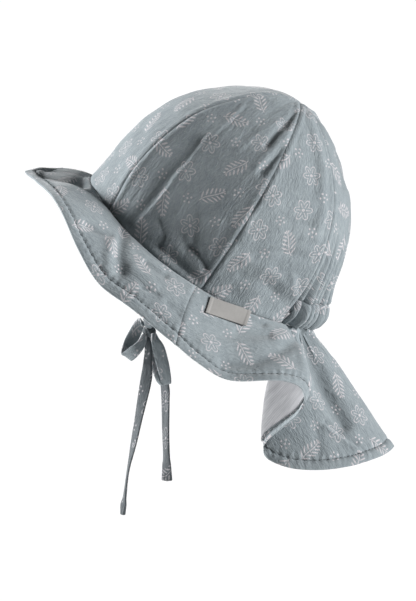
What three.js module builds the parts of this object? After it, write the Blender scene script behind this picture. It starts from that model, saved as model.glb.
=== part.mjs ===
// A child's sun hat in thin crinkled cotton: a six-gore crown gathered at the nape, a soft brim
// that runs on into a long neck flap, and two cloth ties knotted in a bow under the chin.
// Millimetres. X runs across the head (+X is the hat's left side), Y runs fore and aft (the
// front is -Y), Z is up, and the origin is the middle of the head opening.

import * as THREE from 'three';
import { mergeVertices } from 'three/addons/utils/BufferGeometryUtils.js';

// Head opening: an oval that leans back, with its sides a little lower than front and back
const HEAD_LENGTH = 176;
const HEAD_WIDTH = 148;
const BAND_TILT_ANGLE = 33.8;
const BAND_DIP = 12;

// Cloth and sewing
const CLOTH = 1.6;
const FLAP_CLOTH = 1.2;
const LINING_CLOTH = 1.0;
const SEAM_GAP = 0.3;

// Crown
const CROWN_HEIGHT = 121;
const FRONT_SEAM_ANGLE = 42;
const SIDE_SEAM_ANGLE = 100;
const REAR_SEAM_ANGLE = 145;
const GORE_FLATNESS = 0.2;
const SEAM_SPREAD = 0.22;
const GORE_FLAT_FROM = 30;
const CROWN_BUTTON_HOLE = 1.5;

// Gathers at the nape
const CASING_HEIGHT = 18;
const CASING_PUFF = 3;
const PLEATS = 12;
const PLEAT_DEPTH = 1.8;
const PLEAT_FADE_HEIGHT = 85;
const PLEAT_TAPER = 0.15;

// Brim, neck flap and the small label on the flap's root
const BRIM_WIDTH = 52;
const BRIM_SEAM_ANGLE = 97.5;
const FLAP_LENGTH = 100;
const FLAP_GATHER_LENGTH = 30;
const FLAP_SWELL = 0.5;
const GATHER_FADE_POWER = 4;
const HEM_FACING = 7;
const LABEL_LENGTH = 29;
const LABEL_HEIGHT = 11;
const LABEL_CLOTH = 1.0;
const LABEL_ANGLE = 112.5;
const LABEL_DROP = 8;

// Ties and bow
const TIE_WIDTH = 8.5;
const TIE_CLOTH = 1.4;
const TIE_ANGLE = 68;
const TIE_SEWN_HEIGHT = 9;
const TIE_EDGE_HEIGHT = 1;
const TIE_CLEARANCE = 0.8;
const KNOT_FORWARD = 34.5;
const KNOT_DROP = 54.6;
const KNOT_SIZE = 9;
const LOOP_LEFT_LENGTH = 20;
const LOOP_RIGHT_LENGTH = 34;
const TAIL_FRONT_LENGTH = 121;
const TAIL_BACK_LENGTH = 98;

// Crown outline from the band to the top: heights are shares of CROWN_HEIGHT, and front and
// back are shares of the head opening's half sizes
const CROWN_PROFILE = [
  { up: 0, front: 1, back: 1 },
  { up: 0.18, front: 0.995, back: 0.97 },
  { up: 0.34, front: 0.975, back: 0.95 },
  { up: 0.5, front: 0.91, back: 0.885 },
  { up: 0.655, front: 0.805, back: 0.775 },
  { up: 0.764, front: 0.675, back: 0.645 },
  { up: 0.874, front: 0.49, back: 0.465 },
  { up: 0.951, front: 0.305, back: 0.29 },
  { up: 0.988, front: 0.15, back: 0.14 },
  { up: 1, front: 0, back: 0 },
];

// The hem seen from the band at each angle round the head (0 is the front, 180 the back).
// Shares of BRIM_WIDTH; arch is how far the cloth bows up between band and hem, and lean how
// far it bows back
const BRIM_HEM = [
  { angle: 0, side: 0, back: -0.86, up: 0.09, arch: 0.1, lean: 0 },
  { angle: 10, side: 0.235, back: -0.77, up: 0.08, arch: 0.1, lean: 0 },
  { angle: 20, side: 0.437, back: -0.69, up: 0.1, arch: 0.1, lean: 0 },
  { angle: 32, side: 0.592, back: -0.645, up: 0.17, arch: 0.11, lean: 0 },
  { angle: 45, side: 0.687, back: -0.613, up: 0.153, arch: 0.14, lean: 0 },
  { angle: 60, side: 0.729, back: -0.62, up: -0.09, arch: 0.2, lean: 0 },
  { angle: 72, side: 0.723, back: -0.6, up: -0.31, arch: 0.25, lean: 0 },
  { angle: 84, side: 0.719, back: -0.45, up: -0.42, arch: 0.26, lean: 0 },
  { angle: 96, side: 0.738, back: -0.23, up: -0.64, arch: 0.2, lean: 0 },
  { angle: 106, side: 0.767, back: -0.14, up: -0.77, arch: 0.06, lean: 0 },
  { angle: 118, side: 0.8, back: -0.045, up: -0.83, arch: -0.06, lean: 0 },
  { angle: 130, side: 0.775, back: 0.21, up: -0.735, arch: -0.04, lean: 0.05 },
  { angle: 136, side: 0.76, back: 0.27, up: -0.705, arch: 0, lean: 0.16 },
  { angle: 140.5, side: 0.69, back: 0.355, up: -0.755, arch: 0.02, lean: 0.3 },
  { angle: 144.5, side: 0.635, back: 0.345, up: -0.875, arch: 0.02, lean: 0.34 },
];

// The same in shares of FLAP_LENGTH, from the turned-back fold to the middle of the back
const FLAP_HEM = [
  { angle: 146.5, side: 0.307, back: 0.155, up: -0.51, arch: 0, lean: 0.14 },
  { angle: 148, side: 0.26, back: 0.093, up: -0.587, arch: 0, lean: 0.04 },
  { angle: 149.5, side: 0.195, back: -0.022, up: -0.676, arch: 0, lean: -0.04 },
  { angle: 151, side: 0.146, back: -0.139, up: -0.766, arch: 0, lean: -0.09 },
  { angle: 153, side: 0.159, back: -0.168, up: -0.84, arch: 0, lean: -0.1 },
  { angle: 156.5, side: 0.225, back: -0.137, up: -0.89, arch: 0, lean: -0.06 },
  { angle: 161, side: 0.284, back: -0.019, up: -0.927, arch: 0, lean: -0.02 },
  { angle: 165.5, side: 0.285, back: 0.161, up: -0.935, arch: 0.01, lean: 0 },
  { angle: 169.5, side: 0.236, back: 0.322, up: -0.917, arch: 0.01, lean: 0 },
  { angle: 173.5, side: 0.176, back: 0.442, up: -0.888, arch: 0.02, lean: 0 },
  { angle: 177, side: 0.091, back: 0.537, up: -0.858, arch: 0.02, lean: 0 },
  { angle: 180, side: 0, back: 0.578, up: -0.827, arch: 0.02, lean: 0 },
];

// Bow loops and ends: places from the knot's face in shares of the loop or end, width as a
// share of TIE_WIDTH, and the strap's width turned about the vertical and pitched forward
const LEFT_LOOP = [
  { side: -0.02, back: -0.03, up: 0.04, turn: 0, pitch: 40, width: 0.45 },
  { side: -0.09, back: -0.17, up: 0.17, turn: 0, pitch: 30, width: 0.75 },
  { side: -0.19, back: -0.35, up: -0.08, turn: 0, pitch: 23, width: 0.98 },
  { side: -0.2, back: -0.54, up: -0.38, turn: 0, pitch: 26, width: 1 },
  { side: 0, back: -0.64, up: -0.73, turn: 0, pitch: 38, width: 1 },
  { side: 0.19, back: -0.38, up: -0.52, turn: 0, pitch: 50, width: 0.95 },
  { side: 0.15, back: -0.16, up: -0.26, turn: 0, pitch: 60, width: 0.7 },
  { side: 0.04, back: -0.03, up: -0.02, turn: 0, pitch: 60, width: 0.45 },
];
const RIGHT_LOOP = [
  { side: 0.02, back: 0.02, up: -0.005, turn: 0, pitch: 60, width: 0.45 },
  { side: 0.08, back: 0.08, up: -0.1, turn: 0, pitch: 40, width: 0.7 },
  { side: 0.11, back: 0.16, up: -0.28, turn: 0, pitch: 15, width: 1 },
  { side: 0.11, back: 0.26, up: -0.64, turn: 0, pitch: 5, width: 1 },
  { side: 0.02, back: 0.34, up: -0.93, turn: 0, pitch: -10, width: 1 },
  { side: -0.08, back: 0.22, up: -0.85, turn: 0, pitch: -6, width: 1 },
  { side: -0.1, back: 0.14, up: -0.6, turn: 0, pitch: 0, width: 1 },
  { side: -0.09, back: 0.1, up: -0.25, turn: 0, pitch: 10, width: 0.85 },
  { side: -0.03, back: 0.02, up: -0.02, turn: 0, pitch: 30, width: 0.45 },
];
const FRONT_END = [
  { side: 0, back: -0.002, up: -0.004, turn: 0, pitch: 0, width: 0.5 },
  { side: 0.004, back: -0.003, up: -0.066, turn: 10, pitch: 0, width: 0.6 },
  { side: 0.006, back: -0.007, up: -0.15, turn: 20, pitch: 0, width: 0.75 },
  { side: 0.008, back: -0.013, up: -0.234, turn: 23, pitch: 4, width: 1 },
  { side: 0.01, back: -0.05, up: -0.433, turn: 50, pitch: 6, width: 1 },
  { side: 0.008, back: -0.084, up: -0.607, turn: 60, pitch: 6, width: 1 },
  { side: 0.005, back: -0.109, up: -0.732, turn: 77, pitch: 6, width: 1 },
  { side: 0.002, back: -0.124, up: -0.831, turn: 84, pitch: 5, width: 0.9 },
  { side: 0, back: -0.144, up: -0.988, turn: 65, pitch: 5, width: 0.6 },
];
const BACK_END = [
  { side: -0.03, back: 0.01, up: -0.02, turn: 20, pitch: 0, width: 0.5 },
  { side: -0.075, back: 0.045, up: -0.125, turn: 30, pitch: 0, width: 0.8 },
  { side: -0.08, back: 0.092, up: -0.346, turn: 45, pitch: 0, width: 1 },
  { side: -0.06, back: 0.1, up: -0.455, turn: 50, pitch: 0, width: 1 },
  { side: -0.04, back: 0.105, up: -0.659, turn: 51, pitch: 0, width: 1 },
  { side: -0.03, back: 0.114, up: -0.843, turn: 55, pitch: 0, width: 1 },
  { side: -0.02, back: 0.112, up: -0.99, turn: 37, pitch: 0, width: 1 },
];

// How finely each wall is divided
const COLUMNS = { front_gore: 10, side_gore: 8, rear_gore: 6, pleat: 4, brim: 28, flap: 66, label: 8 };
const ROWS = { gore: 11, back_gore: 9, casing: 4, brim: 6, flap: 8, label: 2 };
const STEPS = { tie: 14, loop: 24, end: 24, knot_round: 14, knot_up: 10 };

const degree = Math.PI / 180;
const tilt = BAND_TILT_ANGLE * degree;
const HEAD_FORWARD = new THREE.Vector3(0, -Math.cos(tilt), Math.sin(tilt));
const CROWN_UP = new THREE.Vector3(0, Math.sin(tilt), Math.cos(tilt));
const LEFTWARD = new THREE.Vector3(1, 0, 0);
const SMALL_STEP = 1e-3;
const HALVINGS = 40;

const cottonLook = { roughness: 0.95, metalness: 0 };
const MATERIALS = {
  crown: new THREE.MeshStandardMaterial({ color: 0x8b989e, ...cottonLook }),
  brim: new THREE.MeshStandardMaterial({ color: 0x84949a, ...cottonLook }),
  flap: new THREE.MeshStandardMaterial({ color: 0x8d9ea3, ...cottonLook }),
  lining: new THREE.MeshStandardMaterial({ color: 0xb9bbbc, ...cottonLook }),
  label: new THREE.MeshStandardMaterial({ color: 0xc6c3bd, roughness: 0.6, metalness: 0 }),
  tie: new THREE.MeshStandardMaterial({ color: 0x636d72, ...cottonLook }),
};

// Maths shared by all the pieces

// The value at row number t of a run of rows, on a smooth curve through the rows
function smoothAt(valueOf, t) {
  const i = Math.floor(t);
  const f = t - i;
  const [a, b, c, d] = [i - 1, i, i + 1, i + 2].map(valueOf);
  const slope = c - a;
  const curve = 2 * a - 5 * b + 4 * c - d;
  const twist = 3 * (b - c) + d - a;
  return b + 0.5 * f * (slope + f * (curve + f * twist));
}

// The row number at which a rising value is reached
function rowWhere(value, wanted, low, high) {
  for (let i = 0; i < HALVINGS; i++) {
    const middle = (low + high) / 2;
    if (value(middle) < wanted) low = middle;
    else high = middle;
  }
  return low;
}

function tableValue(table, key, t) {
  const last = table.length - 1;
  return smoothAt((i) => table[THREE.MathUtils.clamp(i, 0, last)][key], t);
}

function outward(surface, u, v) {
  const across = surface(u + SMALL_STEP, v).sub(surface(u - SMALL_STEP, v));
  const upward = surface(u, v + SMALL_STEP).sub(surface(u, v - SMALL_STEP));
  return across.cross(upward).normalize();
}

// The head opening and the crown

function bandDip(angle) {
  return BAND_DIP * Math.sin(angle * degree) ** 2;
}

function onOval(angle, share, height) {
  return new THREE.Vector3()
    .addScaledVector(LEFTWARD, (HEAD_WIDTH / 2) * share * Math.sin(angle * degree))
    .addScaledVector(HEAD_FORWARD, (HEAD_LENGTH / 2) * share * Math.cos(angle * degree))
    .addScaledVector(CROWN_UP, height);
}

function crownBase(angle, row) {
  const frontness = (1 + Math.cos(angle * degree)) / 2;
  const front = tableValue(CROWN_PROFILE, 'front', row);
  const back = tableValue(CROWN_PROFILE, 'back', row);
  const dip = bandDip(angle);
  const height = tableValue(CROWN_PROFILE, 'up', row) * (CROWN_HEIGHT + dip) - dip;
  return onOval(angle, THREE.MathUtils.lerp(back, front, frontness), height);
}

// Rows of the crown's lower part, where every height asked for lies
const BODY_ROWS = 4;

function crownRowAt(height) {
  return rowWhere((row) => tableValue(CROWN_PROFILE, 'up', row), height / CROWN_HEIGHT, 0, BODY_ROWS);
}

function pleat(angle, height) {
  const across = (Math.abs(angle - 180) - (180 - REAR_SEAM_ANGLE)) / (REAR_SEAM_ANGLE - 180);
  const taper = THREE.MathUtils.smoothstep(across, 0, PLEAT_TAPER);
  const fade = 1 - THREE.MathUtils.smoothstep(height, CASING_HEIGHT, PLEAT_FADE_HEIGHT);
  const turn = (PLEATS * (angle - 180)) / (2 * (180 - REAR_SEAM_ANGLE));
  return PLEAT_DEPTH * taper * fade * Math.cos(2 * Math.PI * turn);
}

// A point of the crown and the way out of it. Gores are flatter than the oval between seams,
// and SEAM_SPREAD keeps the front and back outlines where they are
function crownFace(gore, angle, row) {
  const height = tableValue(CROWN_PROFILE, 'up', row) * CROWN_HEIGHT;
  const half = (gore.to - gore.from) / 2;
  const chord = Math.cos(half * degree) / Math.cos((angle - gore.from - half) * degree);
  const rise = THREE.MathUtils.smoothstep(height, 0, GORE_FLAT_FROM);
  const flat = GORE_FLATNESS * rise * (chord - 1 + SEAM_SPREAD);
  const point = crownBase(angle, row);
  const out = outward(crownBase, angle, row);
  const centre = CROWN_UP.clone().multiplyScalar(point.dot(CROWN_UP));
  point.lerp(centre, -flat);
  if (gore.gathered) {
    const puff = CASING_PUFF * Math.sin(Math.PI * Math.min(height / CASING_HEIGHT, 1));
    point.addScaledVector(out, pleat(angle, height) + puff);
  }
  return { point, out };
}

// The brim and the neck flap, one surface that hangs from the band

const HEM = [
  ...BRIM_HEM.map((row) => ({ ...row, size: BRIM_WIDTH })),
  ...FLAP_HEM.map((row) => ({ ...row, size: FLAP_LENGTH })),
];
const BACK_ROW = HEM.length - 1;
const ROUND = 2 * BACK_ROW;

// Rows count from the front, round the left side to the back, and on round the right side
function hemValue(key, t) {
  return smoothAt((i) => {
    const lap = Math.floor(i / ROUND);
    const place = i - lap * ROUND;
    const mirrored = place > BACK_ROW;
    const row = HEM[mirrored ? ROUND - place : place];
    if (key === 'angle') return lap * 360 + (mirrored ? 360 - row.angle : row.angle);
    if (key === 'arch' || key === 'lean') return row[key] * row.size;
    return (key === 'side' && mirrored ? -1 : 1) * row[key] * row.size;
  }, t);
}

const ROOT_DEPTH = SEAM_GAP + CLOTH / 2;

// drop runs from 0 at the band to 1 at the hem
function sheetPoint(t, drop) {
  const angle = hemValue('angle', t);
  const root = onOval(angle, 1, -bandDip(angle) - ROOT_DEPTH);
  const reach = new THREE.Vector3(hemValue('side', t), hemValue('back', t), hemValue('up', t));
  const middle = reach.clone().multiplyScalar(0.5);
  middle.z += hemValue('arch', t);
  middle.y += hemValue('lean', t);
  const gathered = pleat(angle, 0);
  const outFromHead = onOval(angle, 1, 0).normalize();
  return root
    .addScaledVector(outFromHead, gathered * (1 - drop) ** GATHER_FADE_POWER)
    .addScaledVector(middle, 2 * drop * (1 - drop))
    .addScaledVector(reach, drop * drop);
}

function sheetFace(t, drop) {
  const point = sheetPoint(t, drop);
  const out = outward((u, v) => sheetPoint(u, -v), t, -drop);
  const angle = hemValue('angle', t);
  const gatherEnd = FLAP_GATHER_LENGTH / FLAP_LENGTH;
  const swell = Math.sin(Math.PI * Math.min(drop / gatherEnd, 1));
  point.addScaledVector(out, -pleat(angle, 0) * swell * FLAP_SWELL);
  return { point, out };
}

// The same face, drawn back from the seam at t by half a seam gap
function sheetFaceFrom(seams, share, drop) {
  const [from, to] = seams;
  const width = (t) => sheetPoint(t + SMALL_STEP, drop).distanceTo(sheetPoint(t, drop)) / SMALL_STEP;
  const start = from + SEAM_GAP / 2 / width(from);
  const end = to - SEAM_GAP / 2 / width(to);
  return sheetFace(THREE.MathUtils.lerp(start, end, share), drop);
}

function hemRowAt(angle) {
  return rowWhere((t) => hemValue('angle', t), angle, 0, BACK_ROW);
}

// Mesh makers

function closedMesh(points, index) {
  const geometry = new THREE.BufferGeometry().setFromPoints(points);
  geometry.setIndex(index);
  geometry.computeVertexNormals();
  return geometry;
}

// A closed wall of cloth: face(i, j) gives a point and the way out for shares across and up,
// and the wall reaches from outer to inner, measured along the way out
function wall(columns, rows, face, outer, inner) {
  const points = [];
  for (const offset of [outer, inner]) {
    for (let j = 0; j <= rows; j++) {
      for (let i = 0; i <= columns; i++) {
        const { point, out } = face(i / columns, j / rows);
        points.push(point.addScaledVector(out, offset));
      }
    }
  }
  const index = [];
  const id = (side, i, j) => (side * (rows + 1) + j) * (columns + 1) + i;
  const quad = (a, b, c, d) => index.push(a, b, c, a, c, d);
  for (let j = 0; j < rows; j++) {
    for (let i = 0; i < columns; i++) {
      quad(id(0, i, j), id(0, i + 1, j), id(0, i + 1, j + 1), id(0, i, j + 1));
      quad(id(1, i, j), id(1, i, j + 1), id(1, i + 1, j + 1), id(1, i + 1, j));
    }
  }
  for (let i = 0; i < columns; i++) {
    quad(id(1, i, 0), id(1, i + 1, 0), id(0, i + 1, 0), id(0, i, 0));
    quad(id(0, i, rows), id(0, i + 1, rows), id(1, i + 1, rows), id(1, i, rows));
  }
  for (let j = 0; j < rows; j++) {
    quad(id(0, 0, j), id(0, 0, j + 1), id(1, 0, j + 1), id(1, 0, j));
    quad(id(1, columns, j), id(1, columns, j + 1), id(0, columns, j + 1), id(0, columns, j));
  }
  return closedMesh(points, index);
}

// A flat sewn strap along a route of places, each with its turn, pitch and width
function strap(route, steps) {
  const curve = new THREE.CatmullRomCurve3(route.map((row) => row.place));
  const points = [];
  for (let j = 0; j <= steps; j++) {
    const share = j / steps;
    const t = share * (route.length - 1);
    const turn = tableValue(route, 'turn', t) * degree;
    const pitch = tableValue(route, 'pitch', t) * degree;
    const width = tableValue(route, 'width', t) * TIE_WIDTH;
    const centre = curve.getPoint(share);
    const along = curve.getTangent(share);
    const across = new THREE.Vector3(Math.sin(turn), Math.cos(turn) * Math.cos(pitch), 0);
    across.z = -Math.cos(turn) * Math.sin(pitch);
    across.addScaledVector(along, -across.dot(along)).normalize();
    const out = new THREE.Vector3().crossVectors(along, across);
    for (const [a, b] of [[1, 1], [-1, 1], [-1, -1], [1, -1]]) {
      const corner = centre.clone().addScaledVector(across, (a * width) / 2);
      points.push(corner.addScaledVector(out, (b * TIE_CLOTH) / 2));
    }
  }
  const index = [];
  const quad = (a, b, c, d) => index.push(a, b, c, a, c, d);
  for (let j = 0; j < steps; j++) {
    for (let k = 0; k < 4; k++) {
      const next = (k + 1) % 4;
      quad(4 * j + k, 4 * j + next, 4 * j + 4 + next, 4 * j + 4 + k);
    }
  }
  quad(3, 2, 1, 0);
  quad(4 * steps, 4 * steps + 1, 4 * steps + 2, 4 * steps + 3);
  return closedMesh(points, index);
}

// The pieces

const hat = new THREE.Group();

function piece(name, geometry, material) {
  const mesh = new THREE.Mesh(geometry, material);
  mesh.name = name;
  hat.add(mesh);
}

// The gore's side edges stand half a seam gap in from the seams
function goreFace(gore, rows) {
  return (across, up) => {
    const row = THREE.MathUtils.lerp(rows.from, rows.to, up);
    const radius = crownBase(gore.from, row).distanceTo(crownBase(gore.from + 1, row));
    const inset = Math.min(SEAM_GAP / 2 / radius, (gore.to - gore.from) / 4);
    const angle = THREE.MathUtils.lerp(gore.from + inset, gore.to - inset, across);
    return crownFace(gore, angle, row);
  };
}

const lastRow = CROWN_PROFILE.length - 1;
const topRow = lastRow - CROWN_BUTTON_HOLE / (HEAD_WIDTH / 2) / CROWN_PROFILE[lastRow - 1].front;

function crownGore(name, from, to, columns) {
  const gore = { from, to, gathered: false };
  const face = goreFace(gore, { from: 0, to: topRow });
  piece(name, wall(columns, ROWS.gore, face, CLOTH / 2, -CLOTH / 2), MATERIALS.crown);
}

crownGore('crown_front', -FRONT_SEAM_ANGLE, FRONT_SEAM_ANGLE, COLUMNS.front_gore);
crownGore('crown_side_left', FRONT_SEAM_ANGLE, SIDE_SEAM_ANGLE, COLUMNS.side_gore);
crownGore('crown_rear_left', SIDE_SEAM_ANGLE, REAR_SEAM_ANGLE, COLUMNS.rear_gore);
crownGore('crown_rear_right', 360 - REAR_SEAM_ANGLE, 360 - SIDE_SEAM_ANGLE, COLUMNS.rear_gore);
crownGore('crown_side_right', 360 - SIDE_SEAM_ANGLE, 360 - FRONT_SEAM_ANGLE, COLUMNS.side_gore);

const nape = { from: REAR_SEAM_ANGLE, to: 360 - REAR_SEAM_ANGLE, gathered: true };
const napeColumns = PLEATS * COLUMNS.pleat;
const casingRows = { from: 0, to: crownRowAt(CASING_HEIGHT) };
const backRows = { from: crownRowAt(CASING_HEIGHT + SEAM_GAP), to: topRow };
const casing = wall(napeColumns, ROWS.casing, goreFace(nape, casingRows), CLOTH / 2, -CLOTH / 2);
const backGore = wall(napeColumns, ROWS.back_gore, goreFace(nape, backRows), CLOTH / 2, -CLOTH / 2);
piece('nape_casing', casing, MATERIALS.crown);
piece('crown_back', backGore, MATERIALS.crown);

const brimSeam = hemRowAt(BRIM_SEAM_ANGLE);
const brimFace = (across, up) => sheetFaceFrom([-brimSeam, brimSeam], across, 1 - up);
const brim = wall(COLUMNS.brim, ROWS.brim, brimFace, CLOTH / 2, -CLOTH / 2);
piece('front_brim', brim, MATERIALS.brim);

// The flap's outside lies flush with the brim's, and its lining lies a seam gap inside it
const flapSeams = [brimSeam, ROUND - brimSeam];
const flapFace = (across, up) => sheetFaceFrom(flapSeams, across, 1 - up);
const flapInside = CLOTH / 2 - FLAP_CLOTH;
const flap = wall(COLUMNS.flap, ROWS.flap, flapFace, CLOTH / 2, flapInside);
piece('neck_flap', flap, MATERIALS.flap);

const liningDrop = 1 - HEM_FACING / FLAP_LENGTH;
const liningFace = (across, up) => sheetFaceFrom(flapSeams, across, liningDrop * (1 - up));
const liningOutside = flapInside - SEAM_GAP;
const lining = wall(COLUMNS.flap, ROWS.flap, liningFace, liningOutside, liningOutside - LINING_CLOTH);
piece('flap_lining', lining, MATERIALS.lining);

// The label follows the flap, a seam gap outside it
const labelRow = hemRowAt(LABEL_ANGLE);
const labelTop = (LABEL_DROP - LABEL_HEIGHT / 2) / BRIM_WIDTH;
const labelBottom = (LABEL_DROP + LABEL_HEIGHT / 2) / BRIM_WIDTH;
const rowLength = sheetPoint(labelRow + 0.5, labelTop).distanceTo(sheetPoint(labelRow - 0.5, labelTop));
const labelReach = LABEL_LENGTH / 2 / rowLength;
const labelFace = (across, up) => {
  const t = THREE.MathUtils.lerp(labelRow - labelReach, labelRow + labelReach, across);
  return sheetFace(t, THREE.MathUtils.lerp(labelBottom, labelTop, up));
};
const labelInside = CLOTH / 2 + SEAM_GAP;
const label = wall(COLUMNS.label, ROWS.label, labelFace, labelInside + LABEL_CLOTH, labelInside);
piece('label', label, MATERIALS.label);

// The bow: a knot under the chin, two loops and two ends, all clear of the knot by a seam gap
const knotCentre = new THREE.Vector3(0, -KNOT_FORWARD, -KNOT_DROP);
const knotClear = KNOT_SIZE / 2 + SEAM_GAP;
const knotBall = new THREE.SphereGeometry(KNOT_SIZE / 2, STEPS.knot_round, STEPS.knot_up);
knotBall.deleteAttribute('normal');
knotBall.deleteAttribute('uv');
const knot = mergeVertices(knotBall);
knot.translate(...knotCentre.toArray());
piece('bow_knot', knot, MATERIALS.tie);

function fromKnot(table, size) {
  return table.map((row) => {
    const away = new THREE.Vector3(row.side, row.back, row.up);
    const distance = knotClear + away.length() * size;
    return { ...row, place: knotCentre.clone().addScaledVector(away.normalize(), distance) };
  });
}

piece('bow_loop_left', strap(fromKnot(LEFT_LOOP, LOOP_LEFT_LENGTH), STEPS.loop), MATERIALS.tie);
piece('bow_loop_right', strap(fromKnot(RIGHT_LOOP, LOOP_RIGHT_LENGTH), STEPS.loop), MATERIALS.tie);
piece('tie_tail_front', strap(fromKnot(FRONT_END, TAIL_FRONT_LENGTH), STEPS.end), MATERIALS.tie);
piece('tie_tail_back', strap(fromKnot(BACK_END, TAIL_BACK_LENGTH), STEPS.end), MATERIALS.tie);

// Each tie is sewn inside the crown's edge and runs straight to the knot
function chinTie(name, side) {
  const inward = -(CLOTH / 2 + TIE_CLEARANCE + TIE_CLOTH / 2);
  const inside = (height) => {
    const row = crownRowAt(height);
    const out = outward(crownBase, side * TIE_ANGLE, row);
    return crownBase(side * TIE_ANGLE, row).addScaledVector(out, inward);
  };
  const low = inside(TIE_EDGE_HEIGHT);
  const turn = (side * Math.atan2(HEAD_WIDTH, HEAD_LENGTH * Math.tan(TIE_ANGLE * degree))) / degree;
  const toKnot = knotCentre.clone().sub(low).normalize();
  const end = knotCentre.clone().addScaledVector(toKnot, -knotClear);
  const route = [
    { place: inside(TIE_SEWN_HEIGHT), turn, pitch: BAND_TILT_ANGLE, width: 1 },
    { place: low, turn, pitch: BAND_TILT_ANGLE, width: 1 },
    { place: low.clone().lerp(end, 0.25), turn: turn / 2, pitch: BAND_TILT_ANGLE / 2, width: 1 },
    { place: low.clone().lerp(end, 0.8), turn: 0, pitch: 0, width: 1 },
    { place: end, turn: 0, pitch: 0, width: 0.5 },
  ];
  piece(name, strap(route, STEPS.tie), MATERIALS.tie);
}

chinTie('chin_tie_left', 1);
chinTie('chin_tie_right', -1);

export default hat;
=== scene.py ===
# %% [markdown]
# A child's sun hat, dressed for the picture
#
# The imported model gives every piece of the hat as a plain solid. Here each one becomes cloth: the
# same surfaces are drawn again on a fine grid, then given gathers, creases, seams, stitches and a
# printed muslin finish. Sizes are in millimetres until a mesh is made, because a pattern cutter
# thinks in millimetres, and Blender works in metres.

import bpy
import numpy as np
from mathutils import Matrix, Vector


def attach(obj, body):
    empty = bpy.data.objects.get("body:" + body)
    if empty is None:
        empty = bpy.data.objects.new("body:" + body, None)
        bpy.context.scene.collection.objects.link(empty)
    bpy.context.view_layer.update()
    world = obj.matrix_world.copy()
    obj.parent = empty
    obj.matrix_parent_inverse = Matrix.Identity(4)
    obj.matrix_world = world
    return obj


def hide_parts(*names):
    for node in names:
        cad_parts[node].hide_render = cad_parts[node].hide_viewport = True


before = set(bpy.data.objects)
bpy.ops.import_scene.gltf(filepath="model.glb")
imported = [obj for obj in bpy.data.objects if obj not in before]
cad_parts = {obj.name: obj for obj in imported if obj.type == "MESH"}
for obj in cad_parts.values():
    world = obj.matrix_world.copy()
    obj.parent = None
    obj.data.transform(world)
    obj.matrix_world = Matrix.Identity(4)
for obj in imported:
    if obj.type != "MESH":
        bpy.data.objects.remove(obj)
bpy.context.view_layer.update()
print("packed nodes:", len(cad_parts))

# %% [markdown]
# The picture was taken from a little above the hat and nearly square to its left side, with so
# little perspective that a long lens from five metres away gives the same outline. The lens
# follows from the height that the picture takes in.

# %% Camera
MM = 0.001
CAMERA_AZIMUTH = 94
CAMERA_ELEVATION = 6
CAMERA_DISTANCE = 5.0
SENSOR = 36
PICTURE_HEIGHT = 405.8
PICTURE_RIGHT = 5.4
PICTURE_DOWN = 33.4
FARTHEST_SEEN = 100

azimuth = np.radians(CAMERA_AZIMUTH)
elevation = np.radians(CAMERA_ELEVATION)
to_camera = np.array([
    np.cos(elevation) * np.sin(azimuth),
    -np.cos(elevation) * np.cos(azimuth),
    np.sin(elevation),
])
picture_across = np.array([np.cos(azimuth), np.sin(azimuth), 0])
picture_up = np.cross(to_camera, picture_across)

camera_data = bpy.data.cameras.new("camera")
camera_data.sensor_width = SENSOR
camera_data.lens = SENSOR * CAMERA_DISTANCE / (PICTURE_HEIGHT * MM)
camera_data.clip_end = FARTHEST_SEEN
camera = bpy.data.objects.new("camera", camera_data)
bpy.context.collection.objects.link(camera)
middle = (PICTURE_RIGHT * picture_across - PICTURE_DOWN * picture_up) * MM
camera.location = middle + to_camera * CAMERA_DISTANCE
camera.rotation_euler = Vector(-to_camera).to_track_quat("-Z", "Y").to_euler()
bpy.context.scene.camera = camera
print("lens:", round(camera_data.lens, 1), "mm")

# %% [markdown]
# The sizes below are the ones the solids were made from, so the cloth lies where the solids are.
# Only the gathers start closer to the casing's ends here, because a finer grid can hold them.

# %% Sizes of head opening and crown
HEAD_LENGTH = 176
HEAD_WIDTH = 148
BAND_TILT = 33.8
BAND_DIP = 12
CLOTH = 1.6
FLAP_CLOTH = 1.2
LINING_CLOTH = 1.0
SEAM_GAP = 0.3
print("head opening:", HEAD_LENGTH, "x", HEAD_WIDTH, "mm")

CROWN_HEIGHT = 121
FRONT_SEAM = 42
SIDE_SEAM = 100
REAR_SEAM = 145
GORE_FLATNESS = 0.2
SEAM_SPREAD = 0.22
GORE_FLAT_FROM = 30
print("crown:", CROWN_HEIGHT, "mm high, with seams at", (FRONT_SEAM, SIDE_SEAM, REAR_SEAM), "degrees")

# %% [markdown]
# Sizes that follow one another on the way down. The gathers fade upwards over PLEAT_FADE and
# towards the casing's ends over PLEAT_TAPER, which is a share of its half.

# %% Sizes of casing, brim and flap
CASING_HEIGHT = 18
CASING_PUFF = 3
PLEATS = 12
PLEAT_DEPTH = 1.8
PLEAT_FADE = 85
PLEAT_TAPER = 0.07

BRIM_WIDTH = 52
BRIM_SEAM = 97.5
FLAP_LENGTH = 100
FLAP_GATHER = 30
FLAP_SWELL = 0.5
GATHER_FADE_POWER = 4
HEM_FACING = 7
print("brim:", BRIM_WIDTH, "mm wide, flap:", FLAP_LENGTH, "mm long")

# %% [markdown]
# The label and the bow are small, and placed from the flap's root and from the head opening.

# %% Sizes of label and ties
LABEL_LENGTH = 29
LABEL_HEIGHT = 11
LABEL_CLOTH = 1.0
LABEL_ANGLE = 112.5
LABEL_DROP = 8

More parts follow.
